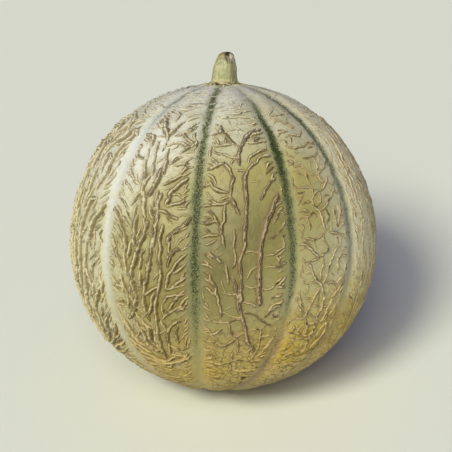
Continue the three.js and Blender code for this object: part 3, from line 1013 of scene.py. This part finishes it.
for name, values in MARKS.items():
    stored = rind_mesh.attributes.new(name, "FLOAT", "POINT")
    stored.data.foreach_set("value", np.asarray(values, np.float32))
print(len(MARKS), "marks stored on the rind")

# %% [markdown]
# ## Putting finishes together
#
# A finish is a small tree of nodes. The helper below adds a node with each call and hands back its output,
# so that a finish reads from top to bottom like a recipe. Colours are given as they look on a screen and
# turned into the light that Blender mixes.


# %% A finish, node by node
class Finish:
    def __init__(self, name):
        self.material = bpy.data.materials.new(name)
        self.material.use_nodes = True
        self.tree = self.material.node_tree
        self.tree.nodes.clear()
        self.shader = self.add("ShaderNodeBsdfPrincipled")
        output = self.add("ShaderNodeOutputMaterial")
        self.tree.links.new(self.shader.outputs["BSDF"], output.inputs["Surface"])
        self.place = self.add("ShaderNodeTexCoord").outputs["Object"]

    def add(self, kind, **settings):
        node = self.tree.nodes.new(kind)
        for name, value in settings.items():
            setattr(node, name, value)
        return node

    def feed(self, socket, value):
        if isinstance(value, bpy.types.NodeSocket):
            self.tree.links.new(value, socket)
        else:
            socket.default_value = value

    def mark(self, name):
        return self.add("ShaderNodeAttribute", attribute_name=name).outputs["Fac"]

    def noise(self, size_mm, detail=2.0, roughness=0.5, distortion=0.0, stretch=None):
        node = self.add("ShaderNodeTexNoise")
        node.inputs["Scale"].default_value = 1 / (size_mm * MM)
        node.inputs["Detail"].default_value = detail
        node.inputs["Roughness"].default_value = roughness
        node.inputs["Distortion"].default_value = distortion
        place = self.place
        if stretch is not None:
            mapping = self.add("ShaderNodeMapping")
            self.feed(mapping.inputs["Vector"], place)
            mapping.inputs["Rotation"].default_value = (LEAN, 0, 0)
            mapping.inputs["Scale"].default_value = stretch
            place = mapping.outputs["Vector"]
        self.feed(node.inputs["Vector"], place)
        return node.outputs["Fac"]

    def maths(self, operation, a, b=0.0, clamp=False):
        node = self.add("ShaderNodeMath", operation=operation, use_clamp=clamp)
        self.feed(node.inputs[0], a)
        self.feed(node.inputs[1], b)
        return node.outputs["Value"]

    def rise(self, value, low, high):
        """0 where the value is low, 1 where it is high, and smooth between."""
        node = self.add("ShaderNodeMapRange", interpolation_type="SMOOTHSTEP")
        self.feed(node.inputs["Value"], value)
        self.feed(node.inputs["From Min"], low)
        self.feed(node.inputs["From Max"], high)
        return node.outputs["Result"]

    def mix(self, share, a, b, way="MIX"):
        node = self.add("ShaderNodeMix", data_type="RGBA", blend_type=way, clamp_factor=True)
        self.feed(node.inputs["Factor"], share)
        self.feed(node.inputs[6], a)
        self.feed(node.inputs[7], b)
        return node.outputs[2]

    def times(self, *values):
        result = values[0]
        for value in values[1:]:
            result = self.maths("MULTIPLY", result, value)
        return result

    def plus(self, a, b):
        return self.maths("ADD", a, b)

    def less(self, a, b):
        return self.maths("SUBTRACT", a, b)

    def wavering(self, value, noise, amount):
        """A share moved up and down by a noise that lies about a half."""
        return self.maths("ADD", value, self.times(self.less(noise, 0.5), amount), clamp=True)

    def bump(self, height_mm):
        node = self.add("ShaderNodeBump")
        node.inputs["Strength"].default_value = 1.0
        node.inputs["Distance"].default_value = MM
        self.feed(node.inputs["Height"], height_mm)
        self.feed(self.shader.inputs["Normal"], node.outputs["Normal"])


def colour(text):
    """A colour written as six hexadecimal digits, as the light it stands for."""
    parts = [int(text[i : i + 2], 16) / 255 for i in (0, 2, 4)]
    return tuple(((p + 0.055) / 1.055) ** 2.4 if p > 0.04045 else p / 12.92 for p in parts) + (1.0,)


# %% [markdown]
# ## The rind's finish
#
# Three layers make the rind's colour: the skin, the sutures and the net. The marks stored on the mesh say
# where the skin is cream, dusky or ripe, and where light is painted on it as a highlight and as a fill, and
# noise breaks their edges up. Fine creases, cracks and spots are drawn on top. The skin has a slight gloss
# and the cork none.

# %% Skin
GOLD_ABOVE = colour("aca35c")
GOLD_BELOW = colour("a38c40")
CREAM = colour("d3d3b6")
# Painted highlight: a near-white for the lit shoulder and the top.
PAINTED_HIGHLIGHT = colour("e9e8d8")
DUSK = colour("6e6732")
OLIVE_PATCH = colour("a49a5a")
# Painted fill light: light yellows for the right side, above and below.
PAINTED_FILL_ABOVE = colour("e4deb0")
PAINTED_FILL_BELOW = colour("f2d880")
RIPE = colour("c6aa30")
GREY_FLECK = colour("8f8f60")

rind_finish = Finish("netted_rind")
f = rind_finish
broad = f.noise(14, 3)
fleck = f.noise(0.7, 3, 0.6)
speck = f.noise(0.42, 2, 0.6)
patchy = f.noise(4.5, 3, 0.55)
low = f.mark("low")

skin = f.mix(f.wavering(f.mark("cream"), broad, 0.8), f.mix(low, GOLD_ABOVE, GOLD_BELOW), CREAM)
# Painted highlight: the skin turns near-white where the highlight mark is high.
skin = f.mix(f.times(f.mark("painted_highlight"), 0.65), skin, PAINTED_HIGHLIGHT)
skin = f.mix(f.wavering(f.mark("dusk"), broad, 0.2), skin, DUSK)
skin = f.mix(f.times(f.rise(patchy, 0.45, 0.75), 0.3), skin, OLIVE_PATCH)
# Painted fill light: the skin turns light yellow on the right side.
skin = f.mix(f.times(f.mark("painted_fill"), 0.85), skin, f.mix(low, PAINTED_FILL_ABOVE, PAINTED_FILL_BELOW))
skin = f.mix(f.times(f.mark("ripe"), f.rise(patchy, 0.1, 0.62)), skin, RIPE)
skin = f.mix(f.times(f.rise(fleck, 0.5, 0.72), 0.22), skin, GREY_FLECK)
print("skin:", len(f.tree.nodes), "nodes so far")

# %% [markdown]
# A suture is a green line with no sharp edge: dark flecks crowd together in its middle, and a pale, mealy
# halo lies beside it. Both come from the distance to the suture, bent by noise and put through a bell
# curve, once narrow and once wide. Low down on some sutures a brown scar takes the place of the green.

# %% Sutures
HALO_FAINT = colour("a8a780")
HALO_STRONG = colour("dde1dc")
HALO_FLECK = colour("a4ab98")
GREEN_GROUND = colour("727643")
DARK_GREEN_BELOW = colour("262c06")
DARK_GREEN_ABOVE = colour("2d3808")
SCAR_GROUND = colour("b09468")
SCAR = colour("6d5040")
EULER = 2.718

side = f.maths("DIVIDE", f.mark("suture_side"), f.mark("suture_spread"))
side = f.plus(side, f.times(f.less(f.noise(4, 5, 0.7), 0.5), 2.2))
squared = f.times(side, side)
near = f.maths("POWER", EULER, f.times(squared, -1.0))
wide = f.maths("POWER", EULER, f.times(squared, -0.33))
mottle = f.plus(f.times(speck, 0.55), f.times(fleck, 0.45))
green_mark = f.mark("suture_green")
halo_mark = f.mark("suture_halo")
scar_mark = f.mark("suture_scar")

halo_share = f.times(wide, halo_mark, f.rise(scar_mark, 0.6, 0.0))
halo_share = f.times(halo_share, f.rise(f.plus(mottle, f.times(wide, 0.25)), 0.5, 0.92))
halo_share = f.times(halo_share, f.less(1.0, f.times(near, green_mark, 0.8)))
halo_share = f.times(halo_share, f.plus(0.45, f.times(f.rise(f.noise(3, 3), 0.35, 0.6), 0.55)))
skin = f.mix(halo_share, skin, f.mix(f.times(halo_mark, halo_mark), HALO_FAINT, HALO_STRONG))
skin = f.mix(f.times(halo_share, f.rise(fleck, 0.47, 0.6), 0.4), skin, HALO_FLECK)

green_share = f.times(f.plus(f.times(near, 0.65), f.times(wide, 0.4)), green_mark)
core = f.times(near, green_share, f.mark("upper"))
crowded = f.plus(f.times(green_share, 0.15), f.times(core, 0.09))
flecks = f.rise(f.plus(mottle, crowded), 0.56, 0.68)
dark_green = f.mix(f.mark("upper"), DARK_GREEN_BELOW, DARK_GREEN_ABOVE)
skin = f.mix(f.rise(green_share, 0.0, 0.8), skin, GREEN_GROUND)
skin = f.mix(f.times(flecks, f.rise(green_share, 0.08, 0.55)), skin, dark_green)

scar_share = f.times(wide, scar_mark)
scarred = f.rise(f.plus(mottle, f.times(scar_share, 0.14)), 0.56, 0.68)
skin = f.mix(f.times(scar_share, 0.4), skin, SCAR_GROUND)
skin = f.mix(f.times(scarred, scar_share), skin, SCAR)
print("with sutures:", len(f.tree.nodes), "nodes")

# %% [markdown]
# The cork is pale where it is dry, on the crest of a ridge. Its flanks are painted shade: a dark olive mixed
# with the skin's colour, lighter in the painted fill light and under the painted highlight. A dark line of
# painted shade lies at its foot, and where ridges crowd together the ground between them is painted darker,
# as shade and dust. Thin ridges right of the front are browner, and near the stem the whole net is grey.

# %% Colours of the net
CORK_ABOVE = colour("eae0b4")
CORK_BELOW = colour("d4b86c")
CORK_DUSK = colour("c2ac74")
CORK_GRAIN = colour("a88f5c")
CORK_TINT = colour("9a7f62")
# Painted shade on the ridges' flanks, with lighter copies for the painted fill light and the painted highlight.
FLANK_SHADE = colour("7c6a1e")
FLANK_SHADE_IN_FILL = colour("a08a4c")
FLANK_SHADE_IN_HIGHLIGHT = colour("b0a470")
THIN_CORK = colour("a98a5a")
THIN_CORK_PAINTED_FILL = colour("ccb07c")
# Painted shade with dust, for the ground between crowded ridges.
VALLEY_DUST_AND_SHADE = colour("80702a")
# Painted shade: the dark line at the foot of a ridge, lighter near the stem, where the net is browned and under
# the painted highlight.
FOOT_SHADE_ABOVE = colour("51430a")
FOOT_SHADE_BELOW = colour("573c08")
FOOT_SHADE_TOP = colour("6f683e")
FOOT_SHADE_BROWNED = colour("a08a50")
FOOT_SHADE_IN_HIGHLIGHT = colour("9c9060")
TOP_FLANK_SHADE = colour("948e70")
TOP_CREST = colour("deddc6")
# The flank's painted shade is lighter in the painted fill light.
print("a flank in the sun is lighter by", round(FLANK_SHADE_IN_FILL[0] - FLANK_SHADE[0], 2))

# %% Net
painted_highlight_mark = f.mark("painted_highlight")
painted_fill_mark = f.mark("painted_fill")
browned_mark = f.mark("browned")
top_mark = f.mark("top")
height = f.mark("net_height")
off_line = f.mark("net_side")
half_width = f.mark("net_width")
across = f.maths("DIVIDE", f.maths("ABSOLUTE", off_line), half_width)
on_ridge = f.rise(height, 0.03, 0.16)
crest = f.rise(across, 0.9, 0.2)
cork_grain = f.noise(0.9, 4, 0.65)

pale_cork = f.mix(0.6, skin, f.mix(low, CORK_ABOVE, CORK_BELOW))
pale_cork = f.mix(f.times(f.mark("dusk"), 0.45), pale_cork, CORK_DUSK)
# Painted shade on the ridges' flanks.
flank_shade_colour = f.mix(painted_fill_mark, FLANK_SHADE, FLANK_SHADE_IN_FILL)
flank_shade_colour = f.mix(f.times(painted_highlight_mark, 0.8), flank_shade_colour, FLANK_SHADE_IN_HIGHLIGHT)
flank_shade = f.mix(0.72, skin, flank_shade_colour)
cork = f.mix(crest, flank_shade, pale_cork)
cork = f.mix(f.times(f.rise(cork_grain, 0.4, 0.7), 0.4), cork, CORK_GRAIN)
cork = f.mix(f.times(f.mark("net_tint"), 0.5), cork, CORK_TINT)
thin = f.rise(half_width, 0.68, 0.4)
# Thin brown ridges, painted lighter in the painted fill light.
thin_cork = f.mix(crest, flank_shade, f.mix(painted_fill_mark, THIN_CORK, THIN_CORK_PAINTED_FILL))
cork = f.mix(f.times(thin, browned_mark, 0.75), cork, thin_cork)
# Near the stem the net is grey, with a lighter painted shade on its flanks.
cork = f.mix(f.times(top_mark, 0.75), cork, f.mix(crest, TOP_FLANK_SHADE, TOP_CREST))

# Painted shade: a dark line along the foot of each ridge.
foot_shade = f.times(f.rise(across, 1.65, 1.05), f.rise(across, 0.55, 0.9))
foot_shade_colour = f.mix(top_mark, f.mix(low, FOOT_SHADE_ABOVE, FOOT_SHADE_BELOW), FOOT_SHADE_TOP)
foot_shade_colour = f.mix(f.times(browned_mark, 0.4), foot_shade_colour, FOOT_SHADE_BROWNED)
foot_shade_colour = f.mix(f.times(painted_highlight_mark, 0.25), foot_shade_colour, FOOT_SHADE_IN_HIGHLIGHT)
# Painted shade with dust: the ground between crowded ridges is darkened, less so near the stem.
valley_dust_and_shade = f.times(f.rise(f.mark("net_crowd"), 0.22, 0.62), 0.7, f.less(1.0, f.times(top_mark, 0.7)))
ground = f.mix(f.times(foot_shade, 0.95), f.mix(valley_dust_and_shade, skin, VALLEY_DUST_AND_SHADE), foot_shade_colour)
rind_colour = f.mix(on_ridge, ground, cork)
print("with the net:", len(f.tree.nodes), "nodes")

# %% [markdown]
# Between the ridges the skin has fine creases, like those of old paint. A Voronoi pattern's edges draw
# them, and a noise sways the pattern so that its edges aren't straight. The creases are only in patches,
# and stop at a ridge.

# %% Fine creases between the ridges
CREASE_ABOVE = colour("867648")
CREASE_BELOW = colour("6a4c14")
CREASE_CELL = 3.3 * MM
SWAY_SIZE = 2.5 * MM
SWAY = 1.8 * MM
bent = f.add("ShaderNodeVectorMath", operation="ADD")
f.feed(bent.inputs[0], f.place)
sway = f.add("ShaderNodeTexNoise")
f.feed(sway.inputs["Vector"], f.place)
sway.inputs["Scale"].default_value = 1 / SWAY_SIZE
swayed = f.add("ShaderNodeVectorMath", operation="SCALE")
f.feed(swayed.inputs[0], sway.outputs["Color"])
swayed.inputs["Scale"].default_value = SWAY
f.feed(bent.inputs[1], swayed.outputs["Vector"])
cells = f.add("ShaderNodeTexVoronoi", feature="DISTANCE_TO_EDGE")
f.feed(cells.inputs["Vector"], bent.outputs["Vector"])
cells.inputs["Scale"].default_value = 1 / CREASE_CELL
creased = f.rise(f.plus(f.noise(3.5, 3), f.times(low, browned_mark, 0.1)), 0.42, 0.58)
crease = f.times(f.rise(cells.outputs["Distance"], 0.11, 0.03), creased, f.rise(on_ridge, 0.6, 0.0))
crease = f.times(crease, f.less(1.0, wide))
crease_share = f.times(crease, f.plus(0.3, f.times(low, 0.6)))
rind_colour = f.mix(crease_share, rind_colour, f.mix(low, CREASE_ABOVE, CREASE_BELOW))
print("with creases:", len(f.tree.nodes), "nodes")

# %% Cracks along the crests
CRACK = colour("38281a")
wobble = f.times(f.less(f.noise(1.6, 2), 0.5), 0.8)
from_crack = f.maths("ABSOLUTE", f.plus(off_line, wobble))
crack_open = f.rise(f.plus(f.noise(4.2, 2), f.times(f.mark("net_crack"), 0.3)), 0.7, 0.8)
crack = f.times(f.rise(from_crack, 0.34, 0.1), crack_open, f.rise(height, 0.2, 0.45))
rind_colour = f.mix(f.times(crack, 0.92), rind_colour, CRACK)
print("with cracks:", len(f.tree.nodes), "nodes")

# %% Stem end, blossom end and spots
STEM_END = colour("bdb877")
TORN_RIND = colour("43300f")
BLOSSOM_SCAR = colour("8c7448")
SPOT = colour("48320f")
stem_gap = f.mark("stem_gap")
rind_colour = f.mix(f.times(f.rise(stem_gap, 13, 6.8), 0.7), rind_colour, STEM_END)
torn = f.times(f.rise(stem_gap, 9.6, 7.2), f.rise(f.noise(2.2, 3), 0.46, 0.56))
rind_colour = f.mix(torn, rind_colour, TORN_RIND)
scar_share = f.times(f.mark("blossom"), f.rise(patchy, 0.3, 0.6))
rind_colour = f.mix(scar_share, rind_colour, BLOSSOM_SCAR)
spot_share = f.rise(f.times(f.mark("spots"), f.plus(patchy, 0.5)), 0.3, 0.6)
rind_colour = f.mix(spot_share, rind_colour, SPOT)
f.feed(f.shader.inputs["Base Color"], rind_colour)

# %% Gloss and fine relief
SKIN_ROUGHNESS = 0.40
CORK_ROUGHER = 0.34
CRACK_DEPTH = 0.35
CREASE_DEPTH = 0.06
PORE_DEPTH = 0.03
roughness = f.plus(SKIN_ROUGHNESS, f.times(fleck, 0.16))
roughness = f.plus(roughness, f.times(near, green_mark, 0.35))
f.feed(f.shader.inputs["Roughness"], f.plus(roughness, f.times(on_ridge, CORK_ROUGHER)))
pores = f.times(f.rise(speck, 0.42, 0.62), PORE_DEPTH)
grain = f.times(f.less(cork_grain, 0.5), on_ridge, 0.55)
groove = f.times(crack, -CRACK_DEPTH)
ridge = f.less(f.times(height, 0.7), f.times(crease, CREASE_DEPTH))
f.bump(f.plus(f.plus(pores, grain), f.plus(groove, ridge)))
rind_mesh.materials.append(f.material)
print("rind finish:", len(f.tree.nodes), "nodes")

# %% [markdown]
# ## The stem
#
# The stub of the stem is a tapering, slightly five-sided stalk with a torn ring of toes at its foot, where
# it was pulling away from the ripe fruit. It is turned like a pot: rings of points whose radius follows a
# profile, with five ridges, fine fibres and the toes added. Its tip was cut aslant, and the cut has dried
# pale with a dark rim.

# %% Shape of the stem, in millimetres about the middle of its foot
STEM_HEIGHT = 14.8
STEM_SINK = 1.2
STEM_RADII = [7.1, 6.9, 6.3, 6.0, 5.85, 5.6, 5.2, 4.6, 3.7, 2.3, 0.0]
STEM_LEVELS = [-STEM_SINK, 0, 0.8, 2.2, 4.2, 6.4, 8.6, 10.8, 12.7, 14.1, STEM_HEIGHT]
STEM_RIDGES = 5
STEM_TOES = 9
STEM_LEAN = 1.2
STEM_JOINT = RADIUS * STEM_END_SHARE
CUT_WAY = np.array([0.74, -0.55, 0.40]) / math.hypot(0.74, 0.55, 0.40)
CUT_PLACE = np.array([3.3, -2.05, 12.7])
RINGS = 110
ROUND = 180
RIDGE_SHARE = 0.035
TIP_RADIUS = 3.9
TIP_HEIGHT = 2.5
FIBRE_DEPTH = 0.16
LUMP_DEPTH = 0.22
CUT_HOLLOW = 0.35


def noise_round(turns, levels, turn_scale, level_scale):
    """A noise for every level and turn of the stem, with no seam where a turn is complete."""
    spots = [[(math.cos(a), math.sin(a), h) for a in turns] for h in levels]
    scale = np.array([turn_scale, turn_scale, level_scale])
    return np.array([[noise.noise(Vector(scale * spot)) for spot in row] for row in spots])


def stem_places():
    """Rings of points up the stem, how far each is beyond the cut, and its share of the height."""
    share = np.linspace(0, 1, RINGS)
    level = -STEM_SINK + (STEM_HEIGHT + STEM_SINK) * (1 - (1 - share) ** 1.35)
    profile = np.interp(level, STEM_LEVELS, STEM_RADII)
    tip = np.clip((STEM_HEIGHT - level) / TIP_HEIGHT, 0, 1)
    profile = np.where(tip < 1, TIP_RADIUS * np.sqrt(np.clip(1 - (1 - tip) ** 2, 0, 1)), profile)
    turn = np.linspace(0, 2 * math.pi, ROUND, endpoint=False)
    z, angle = np.meshgrid(level, turn, indexing="ij")
    radius = np.repeat(profile[:, None], ROUND, 1)
    radius = radius * (1 + RIDGE_SHARE * np.cos(STEM_RIDGES * angle))
    fibre = noise_round(turn, level, 9, 0.12)
    lump = noise_round(turn, level, 2, 0.35)
    radius += (FIBRE_DEPTH * fibre + LUMP_DEPTH * lump) * np.clip(profile / 4, 0, 1)[:, None]
    toe = np.clip(np.cos(STEM_TOES * angle + 1.4 * np.sin(2 * angle + 1)), 0, 1) ** 0.7
    splay = np.clip(1 - (z + 0.2) / 1.9, 0, 1) ** 2
    radius += splay * (1.5 * toe - 0.5)
    x = radius * np.cos(angle) + STEM_LEAN * (z / STEM_HEIGHT) ** 2
    y = radius * np.sin(angle)
    points = np.stack([x, y, z], -1).reshape(-1, 3)
    beyond = (points - CUT_PLACE) @ CUT_WAY
    hollow = CUT_HOLLOW * smooth(beyond, 0.1, 0.9)
    points = points - CUT_WAY * (np.maximum(beyond, 0) + hollow)[:, None]
    return points, beyond, np.repeat(share, ROUND)


points, beyond, share = stem_places()
ids = np.arange(RINGS * ROUND).reshape(RINGS, ROUND)
over = np.roll(ids, -1, axis=1)
stem_quads = np.stack([ids[:-1], over[:-1], over[1:], ids[1:]], -1).reshape(-1, 4)
stem_mesh = mesh_from("stem_stub", stand(points + (0, 0, STEM_JOINT)), stem_quads)
stem = bpy.data.objects.new("stem_stub", stem_mesh)
bpy.context.scene.collection.objects.link(stem)
fade = {
    "cut": smooth(beyond, 0.05, 0.35),
    "rim": 1 - smooth(np.abs(beyond + 0.2), 0.4, 1.7),
    "height_share": share,
}
for name, values in fade.items():
    stored = stem_mesh.attributes.new(name, "FLOAT", "POINT")
    stored.data.foreach_set("value", np.asarray(values, np.float32))
print("stem of", len(points), "points, foot", round(points[:, 0].max() - points[:, 0].min(), 1), "mm wide")

# %% Finish of the stem
STALK_GREEN = colour("8f9356")
STALK_STRAW = colour("b9b688")
STALK_FIBRE = colour("7c7c44")
DRYING = colour("7f6f38")
STALK_FOOT = colour("c2b67c")
TORN_STALK = colour("4a3518")
CUT_RIM = colour("2c1f12")
PITH_PALE = colour("efe6c8")
PITH_BROWN = colour("a48c60")

stem_finish = Finish("stem_stub")
f = stem_finish
streak = f.noise(1.1, 3, 0.6, stretch=(1, 1, 0.08))
fine_streak = f.noise(0.4, 2, 0.6, stretch=(1, 1, 0.1))
blotch = f.noise(2.4, 3)
share = f.mark("height_share")
stalk = f.mix(f.rise(streak, 0.3, 0.7), STALK_GREEN, STALK_STRAW)
stalk = f.mix(f.times(f.rise(fine_streak, 0.5, 0.8), 0.5), stalk, STALK_FIBRE)
drying = f.rise(f.plus(share, f.times(f.less(blotch, 0.5), 0.5)), 0.6, 0.92)
stalk = f.mix(f.times(drying, 0.9), stalk, DRYING)
stalk = f.mix(f.times(f.rise(share, 0.2, 0.08), 0.6), stalk, STALK_FOOT)
torn = f.times(f.rise(share, 0.13, 0.05), f.rise(blotch, 0.4, 0.62))
stalk = f.mix(torn, stalk, TORN_STALK)
ragged = f.rise(f.plus(blotch, f.times(f.rise(share, 0.75, 0.95), 0.4)), 0.35, 0.6)
rim = f.times(f.mark("rim"), f.rise(share, 0.5, 0.66), ragged)
stalk = f.mix(rim, stalk, CUT_RIM)
pith = f.mix(f.rise(blotch, 0.35, 0.6), PITH_PALE, PITH_BROWN)
stalk = f.mix(f.times(f.mark("cut"), f.rise(blotch, 0.8, 0.5)), stalk, pith)
f.feed(f.shader.inputs["Base Color"], stalk)
f.feed(f.shader.inputs["Roughness"], f.plus(0.5, f.times(streak, 0.2)))
f.bump(f.plus(f.times(streak, 0.18), f.times(fine_streak, 0.08)))
stem_mesh.materials.append(f.material)
print("stem finish:", len(f.tree.nodes), "nodes")

# %% [markdown]
# ## Joining the frame
#
# Both pieces ride on the one body and stand in for the plain solids, which stay for collision only.

# %% Ride and replace
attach(rind, "root")
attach(stem, "root")
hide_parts("fruit")
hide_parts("stem")

# %% [markdown]
# ## Floor, light and camera
#
# The floor is a plain pale sheet that runs past the view. Two round soft lights stand high up at the front
# left, so far off that their light is even. The smaller one throws a soft shadow back to the right, and the
# broader one softens its edge. A faint bluish sky fills the shadow. The camera looks slightly down.

# %% Floor
FLOOR_SIZE = 8.0
FLOOR_COLOUR = colour("e0e4ce")
floor_mesh = bpy.data.meshes.new("floor")
half = FLOOR_SIZE / 2
floor_corners = [(-half, -half, 0), (half, -half, 0), (half, half, 0), (-half, half, 0)]
floor_mesh.from_pydata(floor_corners, [], [(0, 1, 2, 3)])
floor = bpy.data.objects.new("floor", floor_mesh)
bpy.context.scene.collection.objects.link(floor)
floor_finish = Finish("plain_floor")
floor_finish.feed(floor_finish.shader.inputs["Base Color"], FLOOR_COLOUR)
floor_finish.shader.inputs["Roughness"].default_value = 1.0
floor_finish.shader.inputs["Specular IOR Level"].default_value = 0.0
floor_mesh.materials.append(floor_finish.material)

# %% Lights
LIGHT_DISTANCE = 100.0
LIGHT_COLOUR = (1.0, 0.985, 0.93)
SKY_COLOUR = (0.85, 0.81, 2.0, 1.0)
SKY_STRENGTH = 0.11
fruit_middle = Vector((0, 0, MIDDLE_HEIGHT * MM))


def round_light(name, azimuth, height_angle, width_angle, power):
    """A far round light: its degrees left of the front and above the floor, and how wide it looks."""
    turn, rise = math.radians(azimuth), math.radians(height_angle)
    way = Vector((-math.sin(turn) * math.cos(rise), -math.cos(turn) * math.cos(rise), math.sin(rise)))
    data = bpy.data.lights.new(name, "AREA")
    data.shape = "DISK"
    data.size = 2 * LIGHT_DISTANCE * math.tan(math.radians(width_angle) / 2)
    data.energy = power
    data.color = LIGHT_COLOUR
    light = bpy.data.objects.new(name, data)
    light.location = fruit_middle + way * LIGHT_DISTANCE
    light.rotation_euler = way.to_track_quat("Z", "Y").to_euler()
    bpy.context.scene.collection.objects.link(light)


round_light("key", 33, 43, 17, 76700)
round_light("broad", 14, 45.5, 36, 44400)

world = bpy.data.worlds.new("soft_sky")
world.use_nodes = True
sky = world.node_tree.nodes["Background"]
sky.inputs["Color"].default_value = SKY_COLOUR
sky.inputs["Strength"].default_value = SKY_STRENGTH
bpy.context.scene.world = world
bpy.context.scene.view_settings.view_transform = "Standard"

# %% Camera
CAMERA_DISTANCE = RADIUS * 10 * MM
CAMERA_HEIGHT_ANGLE = math.radians(30)
LENS = 120.0
SENSOR_WIDTH = 36.0
AIM_RIGHT = 0.97 * MM
AIM_UP = 6.05 * MM
back = Vector((0, -math.cos(CAMERA_HEIGHT_ANGLE), math.sin(CAMERA_HEIGHT_ANGLE)))
up = Vector((0, math.sin(CAMERA_HEIGHT_ANGLE), math.cos(CAMERA_HEIGHT_ANGLE)))
aim = fruit_middle + Vector((AIM_RIGHT, 0, 0)) + up * AIM_UP
lens = bpy.data.cameras.new("view")
lens.lens = LENS
lens.sensor_width = SENSOR_WIDTH
lens.clip_start = 0.05
view = bpy.data.objects.new("view", lens)
view.location = aim + back * CAMERA_DISTANCE
view.rotation_euler = back.to_track_quat("Z", "Y").to_euler()
bpy.context.scene.collection.objects.link(view)
bpy.context.scene.camera = view
